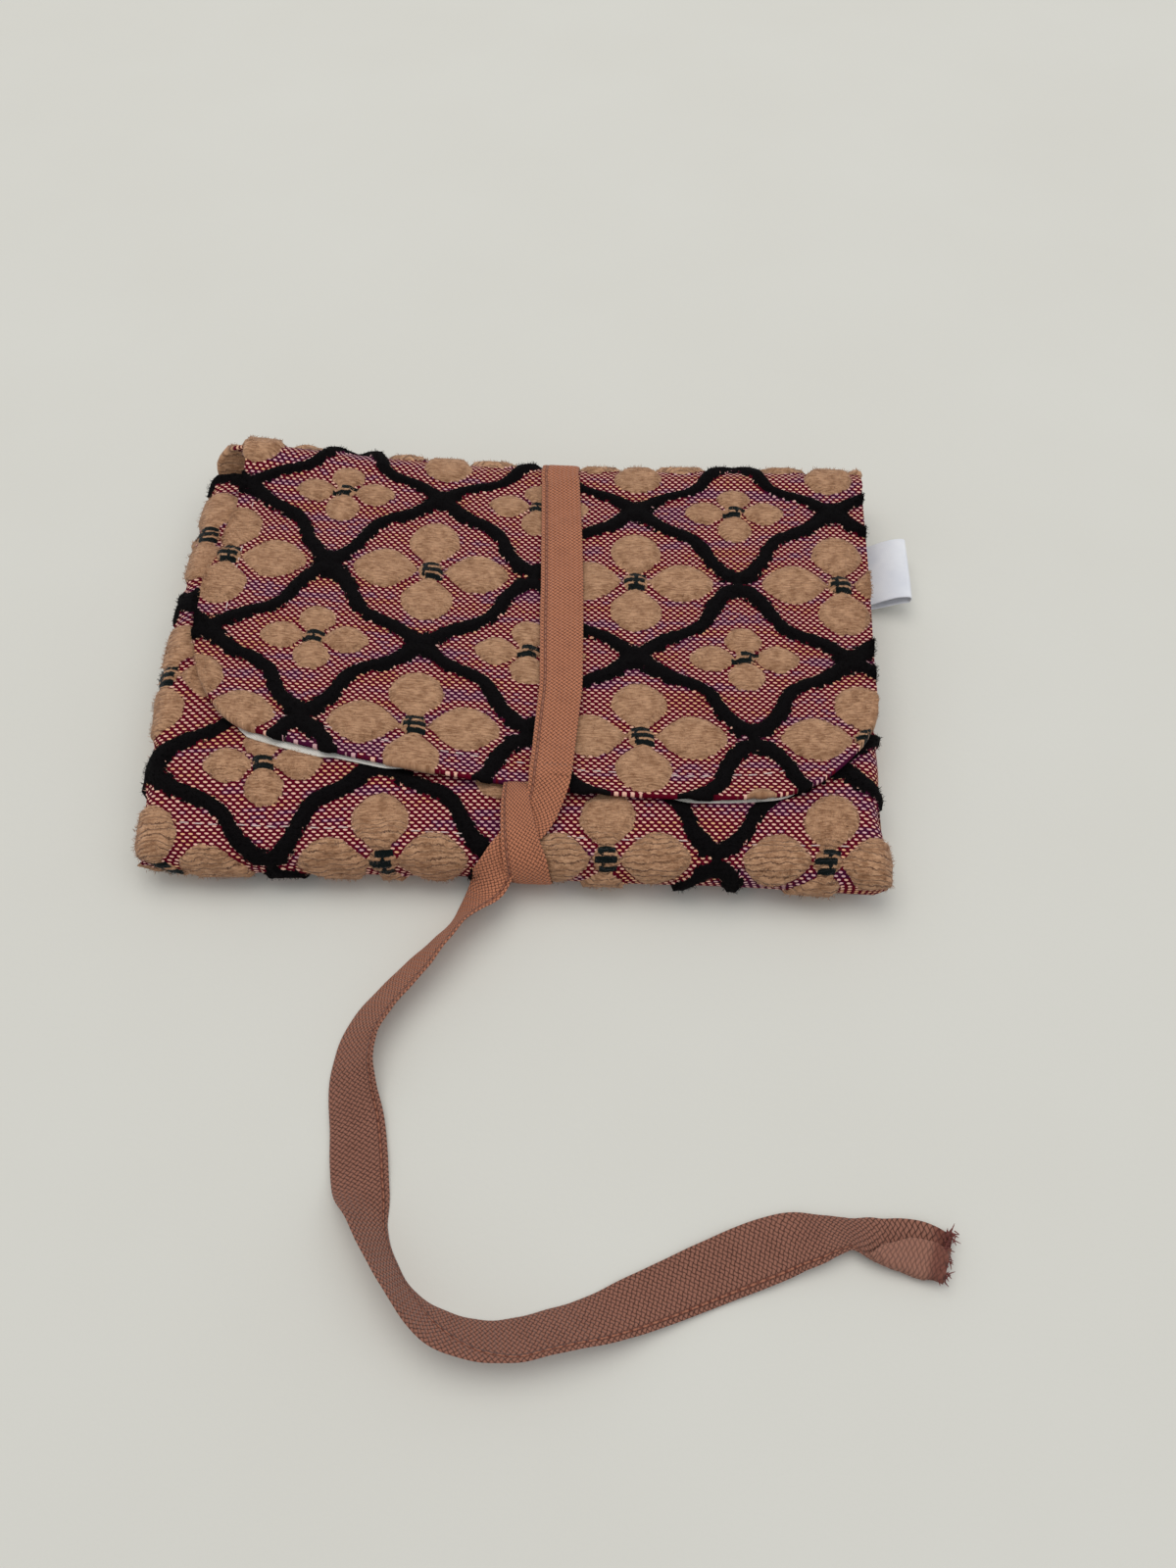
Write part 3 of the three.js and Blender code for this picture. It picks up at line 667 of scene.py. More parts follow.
def curl(x, left, right, radius, turn):
    """Bends the two side margins of a flat cloth. Gives X, drop, extra length and how far it has turned."""
    low = left + radius * math.sin(turn)
    high = right - radius * math.sin(turn)
    reach = radius * turn
    x_low = np.clip((low - x) / (low - left), 0, 1) * reach / radius
    x_high = np.clip((x - high) / (right - high), 0, 1) * reach / radius
    new_x = np.where(x > high, high + radius * np.sin(x_high), x)
    new_x = np.where(x < low, low - radius * np.sin(x_low), new_x)
    drop = radius * (1 - np.cos(np.maximum(x_low, x_high)))
    extra = (x_high - x_low) * radius - (new_x - np.clip(new_x, low, high))
    return new_x, drop, extra, np.maximum(x_low, x_high)


def tie_press(x, centre):
    """1 under the tie and 0 beside it."""
    return smooth((7.2 - np.abs(x - centre)) / 2.6)


def tie_centre(y):
    """X of the middle of the tie where it lies over the flap."""
    return np.interp(y, [-44, -38, -26, -15, 2, 14, 30, 56], [1.7, 2.3, 2.7, 3.1, 2.2, 1.6, 0.6, -1.3])


def front_bulge(x, y):
    """The front fold stands a little further forward at its left end."""
    return -1.7 * smooth((-18 - x) / 55) * smooth((-34 - y) / 20)


def flap_strip(spacing, depth_out, depth_in, relief, edge_extra=None):
    """The cloth of the back and the flap in one strip. Gives its two sides and the values they carry."""
    columns = flap_columns(spacing)
    share = (columns - FLAP_LEFT) / (FLAP_RIGHT - FLAP_LEFT)
    front = fold_path(FRONT_Y, FRONT_R, np.linspace(-math.pi + 0.02, -math.pi / 2, FRONT_ROWS))
    angle = np.linspace(-math.pi / 2, math.pi / 2, max(int(22 / spacing), 8))
    rear = fold_path(REAR_Y, REAR_R, angle)
    table_y = np.linspace(FRONT_Y, REAR_Y, 52 if spacing < 1 else 26)[1:-1]
    level = np.zeros_like(table_y)
    base = [np.concatenate(parts) for parts in zip(front, (table_y, level, level, level - 1), rear)]
    front_v = FABRIC_JOIN - FRONT_R * np.linspace(0, math.pi / 2, FRONT_ROWS)
    under_v = FABRIC_REAR + math.pi * REAR_R
    stretch = (front_v[-1] - under_v) / (REAR_Y - FRONT_Y)
    table_v = under_v + (REAR_Y - table_y) * stretch
    base.append(np.concatenate([front_v, table_v, FABRIC_REAR + REAR_R * (math.pi / 2 - angle)]))
    edge = flap_edge(columns)
    if edge_extra is not None:
        edge = edge + edge_extra(columns)
    t = np.linspace(0, 1, int(92 / spacing))[1:]
    flat = REAR_Y + (edge - REAR_Y) * t[:, None]
    level = np.zeros_like(flat)
    flap = (flat, level + 2 * REAR_R, level, level + 1, flat - FABRIC_SHIFT)
    y, z, ny, nz, v = [np.concatenate([np.repeat(low[:, None], len(columns), axis=1), high])
                       for low, high in zip(base, flap)]

    behind = np.concatenate([base[0] > 0, t > 0])[:, None]
    top = np.where(behind, smooth((z[:, :1] - 1.0) / 11.0), 0.0)
    narrow = np.where(behind, smooth((z[:, :1] - 6.5) / 6.5), 0.0)
    tucked = 1 - (0.03 * smooth((-46 - y) / 6) + 0.035 * smooth((-54 - y) / 5)) * (1 - top)
    x = lerp(body_side(y, share), flap_side(y, share), narrow) * tucked
    left, right = [np.where(top < 0.5, body_side(y, side), flap_side(y, side)) * tucked
                   for side in (0.0, 1.0)]
    bent_x, drop, _, _ = curl(x, left, right, 4.2, 1.15)
    under = smooth((-nz - 0.2) / 0.6)
    x = lerp(x, bent_x, under)
    z = z + drop * under

    u = x + 0.047 * (np.minimum(y, 60) - 41) + 6.9
    u = lerp(u, 1.064 * x + 8.8, smooth((30 - y) / 80) * (1 - top))
    across, along = x / 80, y / 50
    u = u + top * (0.21 - 0.78 * across - 0.3 * along
                   + 0.42 * across ** 2 + 1.4 * across * along - 1.39 * along ** 2)
    v = v + top * (1.6 * np.exp(-((x - 2) / 60) ** 2) - 2.5 + 0.81 * across + 1.67 * along
                   - 1.58 * across ** 2 + 0.47 * across * along - 2.07 * along ** 2)
    slack = 4.3 * top * smooth((y - 41) / 17)
    v = v + slack
    figures = pattern(u, v)
    figures["slack"] = slack

    on_flap = smooth((top - 0.4) / 0.5)
    press = tie_press(x, tie_centre(y)) * on_flap
    height = pile_height(figures, v) * relief * (1 - 0.72 * press)
    height = height * lerp(1.0, 0.2, under) * (1 + 0.35 * smooth((y - 50) / 6) * on_flap)
    height = height * (1 - 0.9 * smooth((-46 - y) / 5) * (1 - top))
    groove = tie_press(x, TIE_X) * 0.95 * smooth((-nz - 0.45) / 0.5)
    tuck = np.zeros((len(x), 1))
    tuck[:FRONT_ROWS, 0] = 1.25 * smooth(np.linspace(1.3, 0, FRONT_ROWS))
    depth = np.maximum(np.maximum(depth_out, groove), tuck)
    offset = height * (1 - tuck / 1.4) - depth
    depth_in = np.maximum(depth_in, depth + 0.35)

    droop = 0.7 * smooth((10 - y) / 60) * on_flap
    rear = smooth((y - 34) / 20) * on_flap
    puff = smooth((np.abs(x + 2) - 9) / 55) * (1.0 + 0.7 * smooth(-x / 60))
    corner = np.exp(-((x + 84) / 16) ** 2) * smooth((y - 44) / 14)
    lift = (puff + 1.7 * corner) * rear
    back_out = (0.8 * puff + corner) * smooth((y - 48) / 10) * on_flap
    wave = 0.28 * swell(x, y) * on_flap * (1 - press)
    shift_y = back_out + front_bulge(x, y) * smooth((-nz + 0.2) / 0.6)
    outer, inner = [points(x, y + ny * out + shift_y, z + nz * out - droop + wave + lift)
                    for out in (offset, -depth_in)]
    return outer, inner, {"fabric": points(u, v, smooth((np.abs(ny) - 0.2) / 0.5)), **figures}


def front_cloth(spacing, depth_out, depth_in, relief, inset=0.0):
    """The cloth of the front, from the front fold to the mouth. Gives the same as flap_strip."""
    share = np.linspace(0, 1, int(164 / spacing))
    angle = np.linspace(math.pi + 0.22, math.pi / 2, max(int(10 / spacing), 6))
    fold = (*fold_path(FRONT_Y, FRONT_R, angle), FRONT_Y - FRONT_R * (angle - math.pi / 2))
    open_y = np.linspace(FRONT_Y, -38, int(17 / spacing))[1:]
    under_y = np.linspace(-38, MOUTH_Y - inset, int(85 / (spacing * 1.35)))[1:]
    flat_y = np.concatenate([open_y, under_y])
    level = np.zeros_like(flat_y)
    flat = (flat_y, level + 2 * FRONT_R, level, level + 1, flat_y)
    y, z, ny, nz, unrolled = [np.concatenate(parts)[:, None] for parts in zip(fold, flat)]

    left = body_side(y, 0.0) + inset
    right = body_side(y, 1.0) - inset - 1.1 * np.exp(-((y + 42) / 6.5) ** 2)
    x = lerp(left, right, share)
    reach = 4.6 * smooth((-79.5 - x) / 4.0) * smooth((y - 28) / 19.0)
    bent_x, drop, extra, turn = curl(x, left, right, 4.6, 1.3)
    flatness = smooth((nz - 0.1) / 0.7)
    across, along = (x + extra) / 80, np.clip(unrolled + 58, -12, 24) / 20
    u = 108.7 + 84.2 * across + 1.8 * across ** 2 + (0.8 - 5.0 * across) * along
    v = 24.4 - 3.85 * across + 18.9 * (unrolled + 58) / 20 + 1.4 * across ** 2
    x = lerp(x, bent_x, flatness) * (1 - 0.04 * smooth((0.5 - nz) / 0.9))
    y = y + reach
    v = v + 0.945 * reach + 6.5 * smooth((unrolled + 15) / 62)
    figures = pattern(u, v)

    covered = smooth((y - flap_edge(x) + 2.6) / 2.0)
    covered = covered * smooth((x + 83.5) / 2.0) * (1 - smooth(reach / 3))
    corner = smooth((0.5 - nz) / 0.5) * smooth((np.abs(x + 4) - 68) / 8)
    figures["line"] = figures["line"] - 3.5 * corner * (x > 0)
    tie = smooth((8.5 - np.abs(x - lerp(-3.5, 2.0, smooth((y + 58) / 14)))) / 2.5) * smooth((-41 - y) / 2)
    height = pile_height(figures, v) * relief * lerp(1.0, 0.18, covered)
    height = height * (1 - 0.75 * corner) * (1 - 0.75 * tie)
    puff = 0.35 * swell(x + 30, y - 20) * (1 - covered) * (1 - tie)
    offset = height - depth_out + puff
    sink = drop * flatness
    forward = front_bulge(x, y)
    tilt = turn * flatness * np.where(x < 0, 1.0, -1.0)
    outer = points(x - np.sin(tilt) * offset, y + ny * offset + forward,
                   z + nz * offset * np.cos(tilt) - sink)
    inner = points(x + np.sin(tilt) * depth_in * 0.6, y - ny * depth_in + forward,
                   z - nz * depth_in * np.maximum(np.cos(tilt), 0.45) - sink)
    bend = np.maximum(1 - smooth((y + 54) / 5), 0.8 * smooth(turn * 1.2)) * (1 - covered)
    return outer, inner, {"fabric": points(u, v, bend), **figures}


def pile_fibres(name, outer, layers, count, choose, length_mm, body):
    """Short fibres that stand on the pile, so that its outline is soft."""
    middle = outer.shape[0] // 2, outer.shape[1] // 2, 2
    normal = unit(np.cross(np.gradient(outer, axis=1), np.gradient(outer, axis=0)))
    if normal[middle] * outer[middle] < 0:
        normal = -normal
    pile = np.maximum(layers["line"], layers["petal"]) > 0.0
    candidates = np.argwhere(pile & choose)
    i, j = candidates[rng.integers(0, len(candidates), count)].T
    base = outer[i, j] + rng.normal(0, 0.25, (count, 3)) * [1, 1, 0]
    away = unit(normal[i, j] + rng.normal(0, 0.6, (count, 3)))
    side = unit(np.cross(away, rng.normal(0, 1, (count, 3))))
    other = np.cross(away, side)
    length = rng.uniform(0.4, 1.0, (count, 1)) * length_mm
    start = base - away * FIBRE_ROOT
    back, aside = side * 0.5 * FIBRE_WIDTH, other * 0.87 * FIBRE_WIDTH
    corners = [start + side * FIBRE_WIDTH, start - back + aside, start - back - aside,
               start + away * (length + FIBRE_ROOT)]
    vertices = np.stack(corners, axis=1).reshape(-1, 3)
    first = 4 * np.arange(count)[:, None]
    faces = np.concatenate([first + corner for corner in ((0, 1, 3), (1, 2, 3), (2, 0, 3))]).tolist()
    values = {key: np.repeat(grid[i, j], 4, axis=0) for key, grid in layers.items()}
    piece = make_object(name, vertices, faces, cloth, values)
    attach(piece, body)


def add_outer_cloths():
    outer, inner, layers = flap_strip(SPACING, GROUND, CLOTH - 0.05, 1.0)
    strip = shell_object("outer_back_and_flap", outer, inner, cloth, layers)
    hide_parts("back_panel", "flap_panel")
    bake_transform(strip)
    x, y, z = np.moveaxis(outer, 2, 0)
    beside_tie = np.abs(x - tie_centre(y)) >= 5.2
    pile_fibres("pile_on_flap", outer, layers, 26000, (z > 11.0) & beside_tie, 0.75, "flap")
    outer, inner, layers = front_cloth(SPACING, GROUND, CLOTH - 0.05, 1.0)
    front = shell_object("outer_front", outer, inner, cloth, layers)
    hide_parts("front_panel")
    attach(front, "front")
    x, y, z = np.moveaxis(outer, 2, 0)
    in_the_open = (y < flap_edge(x) - 1) | (x < -85)
    pile_fibres("pile_on_front", outer, layers, 17000, in_the_open & (z > 1.0), 0.8, "front")


# ---- linings, leaves and pleats

def white_slivers(x):
    """How far the lining shows beyond the flap's edge, in mm along Y."""
    return (
        0.7
        - 0.9 * smooth((x + 76) / 6) * (1 - smooth((x + 54) / 6))
        - 1.7 * smooth((x + 76) / 6) * (1 - smooth((x + 38) / 10))
        - 1.3 * smooth((x - 26) / 8) * (1 - smooth((x - 54) / 8))
    )


def lining_piece(name, outer, inner):
    piece = shell_object(name, outer, inner, lining_material)
    return piece


def add_linings():
    outer, inner, _ = flap_strip(LINING_SPACING, LINING_OUT, LINING_IN, 0.0, white_slivers)
    for grid in (outer, inner):
        fold = smooth((grid[:, :, 1] - 42) / 6)
        narrower = np.where(grid[:, :, 0] < BODY_MIDDLE, 0.115, 0.03) * fold
        grid[:, :, 0] = BODY_MIDDLE + (grid[:, :, 0] - BODY_MIDDLE) * (0.988 - narrower)
    lining = lining_piece("lining_back_and_flap", outer, inner)
    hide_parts("back_lining", "flap_lining")
    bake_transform(lining)
    outer, inner, _ = front_cloth(FRONT_LINING_SPACING, LINING_OUT, LINING_IN, 0.0, 1.5)
    front = lining_piece("lining_front", outer, inner)
    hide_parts("front_lining")
    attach(front, "front")


def add_leaf(name, node, body, level):
    """A leaf of the accordion, with a finger notch and a hem at its mouth."""
    x = np.linspace(-75.4, 63.4, 90)
    notch = 3.5 * smooth((13 - np.abs(x - BODY_MIDDLE)) / 10)
    y = LEAF_FRONT + np.linspace(0, 1, 60)[:, None] * (MOUTH_Y - notch - LEAF_FRONT)
    z = level + 0.46 + 0.12 * swell(x * 1.7, y * 1.3) * smooth((y + 58) / 12)
    hem = smooth((y - (MOUTH_Y - 6.5)) / 0.8) * (1 - smooth((y - (MOUTH_Y - 5.0)) / 0.8))
    piece = lining_piece(name, points(x, y, z - 0.08 * hem), points(x, y, z - 0.42))
    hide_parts(node)
    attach(piece, body)


def strip_between(name, line):
    """A folded strip: an X-Z line carried along Y, as a closed shell."""
    line = np.array(line)
    steps = np.linspace(0, 1, 40)
    px, pz = places_on(line, steps * steps_along(line)[-1])
    along = unit(points(np.gradient(px), np.gradient(pz)))
    nx, nz = along[:, 1], -along[:, 0]
    y = np.linspace(FRONT_Y, 46.5, 50)[:, None]
    wave = 0.25 * np.sin(y * 0.35) * np.sin(math.pi * steps)
    outer, inner = [points(px + nx * out + wave, y, pz + nz * out) for out in (STRIP / 2, -STRIP / 2)]
    return lining_piece(name, outer, inner)


def add_pleats():
    """Three side strips at each side. Their roots lie at the leaves' edges, and their rims fold out."""
    root, rim = 70.3, 78.6
    between = (rim + root) / 2
    turn = np.linspace(-math.pi / 2, math.pi / 2, 9)
    bend = [(rim - 1.2 + 1.2 * math.cos(a), 5.8 + 1.2 * math.sin(a)) for a in turn]
    strips = (
        ("back", [(rim, 2.8), (between, 2.92), (root, 3.05)], "back", "leaf_back", 0.0026, 0.0032),
        ("middle", [(root, 3.7), *bend, (root, 7.9)], "leaf_back", "leaf_front", 0.0040, 0.0076),
        ("front", [(root, 8.5), (between, 8.64), (rim, 8.8)], "leaf_front", "front", 0.0084, 0.0090),
    )
    for side, sign in (("left", -1), ("right", 1)):
        for place, profile, lower, upper, start, end in strips:
            line = [(BODY_MIDDLE + sign * x, z) for x, z in profile]
            strip = strip_between(f"{side}_side_{place}", line)
            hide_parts(f"{side}_pleat_{place}")
            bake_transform(strip)


# ---- tie

def hermite(rows, spacing):
    """A smooth curve through rows of numbers, whose first three are a place in mm."""
    rows = np.array(rows, dtype=float)
    at = steps_along(rows[:, :3])
    slope = np.gradient(rows, at, axis=0)
    where = np.linspace(0, at[-1], max(int(at[-1] / spacing), 2) + 1)
    k = np.clip(np.searchsorted(at, where, side="right") - 1, 0, len(rows) - 2)
    span = (at[k + 1] - at[k])[:, None]
    t = (where - at[k])[:, None] / span
    a, b = rows[k], rows[k + 1]
    ma, mb = slope[k] * span, slope[k + 1] * span
    return ((2 * t ** 3 - 3 * t ** 2 + 1) * a + (t ** 3 - 2 * t ** 2 + t) * ma
            + (-2 * t ** 3 + 3 * t ** 2) * b + (t ** 3 - t ** 2) * mb)


def ribbon_frames(rows):
    """Middle of a tape, and its directions across and out. Each row is x, y, z, pitch, tilt, width."""
    centre = rows[:, :3]
    along = unit(np.gradient(centre, axis=0))
    pitch = np.radians(rows[:, 3])
    lean = points(0.0, -np.sin(pitch), np.cos(pitch))
    across = unit(np.cross(lean, along))
    out = np.cross(along, across)
    tilt = np.radians(rows[:, 4])[:, None]
    turned = across * np.cos(tilt) + out * np.sin(tilt)
    return centre, turned, out * np.cos(tilt) - across * np.sin(tilt)


def both_sides(top, low):
    """Values round a tape: along its upper side and back along its lower one."""
    return np.concatenate([top, low[1:-1][::-1]])


def ribbon(name, rows, thickness=0.8, pucker=0.1, phase=0.0, seam_at=lambda length: 1.25, fold_at=None,
           painted_shade_at=lambda length: 0.0):
    """A folded tape with rounded edges, as one closed mesh."""
    centre, across, out = ribbon_frames(rows)
    s = np.sin(np.linspace(-math.pi / 2, math.pi / 2, 33 if fold_at else 17))
    mm = (s + 1) * TAPE_WIDTH / 2
    half_thick = thickness / 2 * (1 - np.abs(s) ** 5) ** 0.5
    length = steps_along(centre) + phase
    end = smooth((length - (length[-1] - 5.5)) / 4) if fold_at else 0 * length
    share = fold_at(length) if fold_at else 0 * length
    rings, maps, seams = [], [], []
    for i, at in enumerate(length):
        ripple = pucker * (np.sin(at * 0.9 + 2.2 * s) * 0.5 + np.sin(at * 0.37 + 1.1 * s + 1.3))
        ripple = ripple + end[i] * (0.35 * np.sin(s * 9 + at * 1.6) + 0.25 * np.sin(s * 17 - at * 2.3))
        over, up, turn = folded_over(s, share[i], rows[i, 5])
        seat = centre[i] + np.outer(over, across[i]) + np.outer(up, out[i])
        face = np.outer(np.cos(turn), out[i]) + np.outer(np.sin(turn), across[i])
        seam = mm - seam_at(at)
        groove = 0.14 * np.exp(-(seam / 0.4) ** 2)
        rings.append(both_sides(seat + (half_thick + ripple - groove)[:, None] * face,
                                seat + (ripple - half_thick)[:, None] * face))
        maps.append(both_sides(points(mm, at, 1.0), points(mm, at, -1.0)))
        seams.append(both_sides(seam, seam))
    vertices = np.concatenate(rings)
    vertices[:, 2] = np.maximum(vertices[:, 2], 0.05)
    sides = len(rings[0])
    layers = {"tape": np.concatenate(maps), "seam": np.concatenate(seams), "end": np.repeat(end, sides),
              "painted_shade": np.repeat([painted_shade_at(at) for at in length], sides)}
    obj = make_object(name, vertices, tube_faces(len(rows), sides), tie_material, layers)
    return obj


# The free end of the tie, given along its way: x, y, z, pitch, tilt, width.
# The first rows lie over the flap's edge and under the first stretch of the tie.
TAIL = [
    (2.3, -37.0, 15.0, 0, 0, 9.4), (2.1, -41.0, 14.9, 0, 0, 9.0), (1.4, -44.8, 13.9, 8, 0, 8.2),
    (-0.2, -49.4, 12.7, 8, 0, 7.8), (-2.8, -53.4, 12.3, 4, 0, 7.6), (-5.7, -57.2, 11.8, 25, 0, 7.6),
    (-8.3, -60.8, 8.9, 50, 0, 8.2), (-10.9, -64.3, 5.6, 30, 40, 9.0), (-14.6, -69.4, 4.6, 0, 58, 10),
    (-18.3, -74.6, 4.4, 0, 55, 10), (-22.0, -79.6, 3.8, 0, 48, 10), (-26.2, -85.0, 3.6, 0, 44, 10),
    (-29.8, -90.2, 3.4, 0, 40, 10), (-32.3, -95.6, 3.2, 0, 38, 10), (-33.0, -101.0, 2.8, 0, 30, 10),
    (-32.4, -106.5, 1.6, 0, 13, 10), (-30.6, -113.0, 0.95, 0, 3, 10.6), (-29.4, -119.0, 0.9, 0, 0, 11.0),
    (-28.0, -125.0, 1.6, 0, -12, 10.6), (-25.4, -131.6, 4.0, 0, -52, 10), (-22.0, -137.8, 4.8, 0, -66, 10),
    (-17.0, -144.0, 4.8, 0, -64, 10), (-11.2, -148.2, 4.2, 0, -50, 10), (-4.0, -150.0, 3.6, 0, -42, 10),
    (3.0, -149.6, 3.4, 0, -38, 10), (9.5, -147.9, 3.3, 0, -36, 10), (17.0, -145.6, 2.6, 0, -26, 10),
    (26.0, -141.8, 1.3, 0, -7, 10.4), (38.0, -136.4, 0.9, 0, 0, 11.2), (48.0, -132.2, 1.1, 0, -4, 11.6),
    (52.2, -130.7, 1.3, 0, -8, 11.0), (56.5, -129.9, 1.6, 0, -12, 9.4), (59.8, -129.2, 1.8, 0, -14, 7.6),
    (63.4, -128.7, 1.7, 0, -12, 6.2), (66.4, -128.9, 1.4, 0, -8, 9.4), (69.4, -129.4, 1.1, 0, -4, 13.0),
    (73.8, -130.0, 0.9, 0, 0, 17.0), (77.8, -130.9, 0.9, 0, 0, 17.0), (80.4, -131.8, 1.1, -6, 0, 15.0),
]


def folded_over(s, share, width):
    """Where a place across the tape lies when a share of its width is folded over: across, up, turn."""
    if share <= 0.01:
        return s * width / 2, 0 * s, 0 * s
    crease = -1 + 2 * share
    past = np.maximum(crease - s, 0) * width / 2
    turn = np.minimum(past / FOLD_RADIUS, math.pi)
    beyond = np.maximum(past - math.pi * FOLD_RADIUS, 0)
    across = np.where(s > crease, s, crease) * width / 2 - FOLD_RADIUS * np.sin(turn) + beyond
    across = across - share * width / 2
    return across, FOLD_RADIUS * (1 - np.cos(turn)) + 0.04 * beyond, turn


def tail_seam(length):
    """The stitched line changes from the tape's inner edge to its outer one."""
    under = lerp(1.25, 8.5, smooth((length - 14.0) / 7.0))
    return lerp(under, 1.1, smooth((length - 118.0) / 30.0))


def flatten_when_open(piece):
    """Gives the piece its own copy of its mesh."""
    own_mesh(piece)


def add_tie_wrap():
    """Under the pouch, up the rear fold and over the flap."""
    rows = [(TIE_X, y, 0.47, 180, 0, TAPE_WIDTH) for y in np.linspace(-53.5, 52.0, 30)]
    for angle in np.linspace(-math.pi / 2, math.pi / 2, 24):
        radius = REAR_R + lerp(-0.42, 0.62, smooth((angle + math.pi / 2) / 1.2))
        x = lerp(TIE_X, tie_centre(56.0), smooth((angle + 1.57) / 3.14))
        rows.append((x, REAR_Y + radius * math.cos(angle), REAR_R + radius * math.sin(angle),
                     math.degrees(angle) - 90, 0, TAPE_WIDTH))
    for y in np.linspace(50.0, -40.0, 24):
        width = np.interp(y, [-40, -20, 5, 30, 56], [9.3, 9.7, 10.3, 10.2, 9.6])
        rows.append((tie_centre(y), y, 14.98, 0, 0, width))
    obj = ribbon("tie_wrap", hermite(rows, 1.0))
    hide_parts("tie_under", "tie_over")
    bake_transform(obj)


def add_tie_start():
    """The sewn end of the tie, out of the flap's edge and down over the front fold."""
    rows = [(-5.2, -41.0, 12.9, 0, 0, 5.4), (-5.1, -43.0, 13.7, 0, 0, 5.6), (-4.8, -46.5, 14.2, 0, 0, 6.2),
            (-4.2, -50.5, 13.9, 4, 0, 7.0), (-3.4, -54.7, 13.5, 8, 0, 7.8)]
    for angle, x, width in ((115, -2.6, 8.6), (135, -1.9, 9.2), (160, -1.4, 9.4), (185, -1.1, 9.6),
                            (215, -1.0, 9.6), (245, -1.0, 9.6), (268, -1.0, 9.6)):
        radius = FRONT_R + lerp(1.55, -0.36, smooth((angle - 100) / 150))
        a = math.radians(angle)
        rows.append((x, FRONT_Y + radius * math.cos(a), FRONT_R + radius * math.sin(a), angle - 90, 0, width))
    obj = ribbon("tie_first_stretch", hermite(rows, 0.8), 0.75, 0.06, phase=3.0)
    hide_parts("tie_start")
    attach(obj, "flap")
    flatten_when_open(obj)


def add_tie_tail():
    """The tucked run and the free tail, whose end is folded over and frayed."""
    curve = hermite(TAIL, 0.8)
    centre = curve[:, :3]
    whole = float(np.linalg.norm(np.diff(centre, axis=0), axis=1).sum())

    def end_fold(length):
        return np.interp(length, [whole - 18.5, whole - 12.5, whole - 7.5, whole], [0.0, 0.39, 0.465, 0.48])
    # Painted shade on the free tail, growing from about 20 mm along it.
    obj = ribbon("tie_free_end", curve, 0.75, 0.1, seam_at=tail_seam, fold_at=end_fold,
                 painted_shade_at=lambda length: smooth((length - 20) / 70))
    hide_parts("tie_tuck", "tie_tail")
    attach(obj, "flap")
    share = rng.uniform(0, 1, (FRAY_THREADS, 1))
    starts = np.array([81.0, -127.4, 1.7]) + share * [-2.6, -8.6, 0.0]
    starts = starts + rng.uniform(-1, 1, (FRAY_THREADS, 3)) * [0.9, 0.3, 1.1]
    ends = starts + rng.normal(0, 1, (FRAY_THREADS, 3)) * [0.6, 0.8, 0.5] + [0.3, 0, 0.1]
    ends[:, 2] = np.maximum(ends[:, 2], 0.25)
    fray = make_object("tie_fray", *rods(starts, ends, 0.13, 0.6), fray_material)
    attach(fray, "flap")
    path = [tuple(p * MM) for p in centre[::2]] + [tuple(centre[-1] * MM)]
    tuple(centre[0] * MM)
    flatten_when_open(obj)
    flatten_when_open(fray)


# ---- label

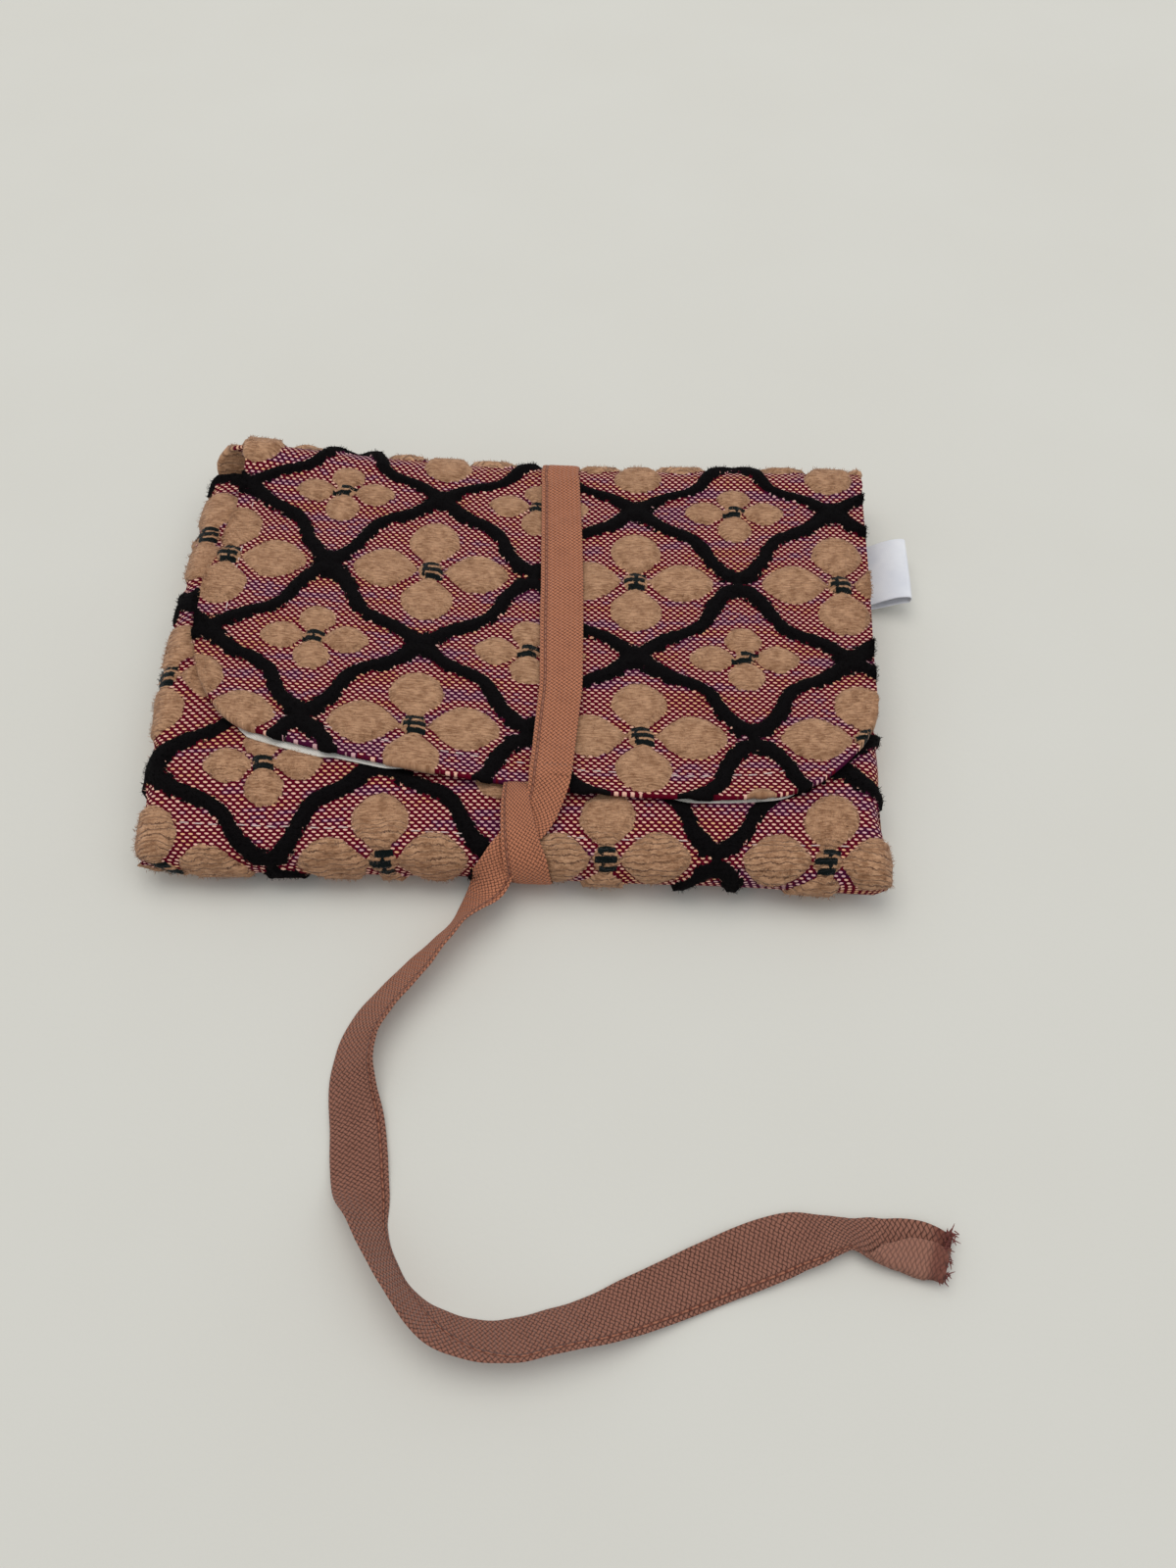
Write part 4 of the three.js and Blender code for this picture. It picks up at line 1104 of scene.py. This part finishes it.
def add_label():
    """A bare folded loop of satin in the right side seam."""
    share = np.linspace(0, 1, 26)
    x = 74.6 + 13.2 * share
    middle = 2.2 + 3.4 * smooth((share * 13.2 - 1) / 12)
    opening = 0.2 + 0.95 * np.sin(math.pi * share * 0.72) ** 1.2
    upper = points(x, middle + opening)
    lower = points(x, middle - opening)[::-1]
    turn = np.linspace(math.pi / 2, -math.pi / 2, 9)[1:-1]
    tip = [(x[-1] + 0.55 * math.cos(a), middle[-1] + opening[-1] * math.sin(a)) for a in turn]
    profile = np.concatenate([upper, np.array(tip), lower])
    along = unit(np.gradient(profile, axis=0))
    normal = points(along[:, 1], -along[:, 0])
    y = np.linspace(22.6, 41.8, 34)[:, None]
    skew = 0.10 * (y - 32)
    curve = 0.25 * np.sin((y - 22) * 0.16) * (profile[:, 0] - 74) / 13

    def layer(depth):
        px, pz = (profile - normal * depth).T
        lean = skew * (px - 74) / 13
        return points(px, y + 0.8 * (px - 74) / 13, pz + curve + lean * 0.3)
    label = shell_object("side_loop_label", layer(0.0), layer(0.28), label_material, steps=2)
    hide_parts("side_label")
    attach(label, "back")


# ---- topstitching

def surface_z(grid, x, y):
    """Height of the nearest grid point at each place."""
    flat = grid.reshape(-1, 3)
    nearest = [np.argmin((flat[:, 0] - px) ** 2 + (flat[:, 1] - py) ** 2) for px, py in zip(x, y)]
    return flat[nearest, 2]


def stitch_row(name, grid, line, body, pitch=3.1, length=2.1, lift=0.1):
    """A row of stitches along a line over a cloth, each a little off the line."""
    line = np.array(line)
    first = np.arange(0.4, steps_along(line)[-1] - length, pitch)
    wobble = rng.normal(0, 0.12, len(first))
    ends = []
    for where in (first, first + length):
        x, y = places_on(line, where)
        ends.append(points(x, y + wobble, surface_z(grid, x, y + wobble) + lift))
    piece = make_object(name, *rods(*ends, 0.16), stitch_pale)
    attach(piece, body)


def add_stitches():
    front, _, _ = front_cloth(STITCH_SPACING, GROUND, CLOTH, 0.25)
    top = front[front[:, 0, 1] > -60.0]
    stitch_row("stitches_front", top, [(-83, -53.6), (-12, -53.2)], "front")
    stitch_row("stitches_front_right", top, [(5, -53.0), (72, -52.6)], "front")
    strip, _, _ = flap_strip(STITCH_SPACING, GROUND, CLOTH, 0.25)
    flap = strip[-60:]
    columns = np.linspace(FLAP_LEFT + 5.0, FLAP_RIGHT - 5.0, 90)
    edge = [(x * 0.985, y) for x, y in zip(columns, flap_edge(columns, 5.0))]
    left = [(-79.0 + 0.02 * (50 - y), y) for y in np.linspace(50, -8, 20)]
    stitch_row("stitches_flap_left", flap, left, "flap")
    stitch_row("stitches_flap_edge", flap, edge[8:-8], "flap", 3.4, 2.0, 0.06)


# ---- scene

bpy.context.scene.view_settings.view_transform = "Standard"
add_camera()
add_surroundings()
add_tie_tail()
add_tie_wrap()
add_tie_start()
add_outer_cloths()
add_linings()
add_leaf("leaf_rear", "pocket_leaf_back", "leaf_back", 3.1)
add_leaf("leaf_front", "pocket_leaf_front", "leaf_front", 8.0)
add_pleats()
add_label()
add_stitches()
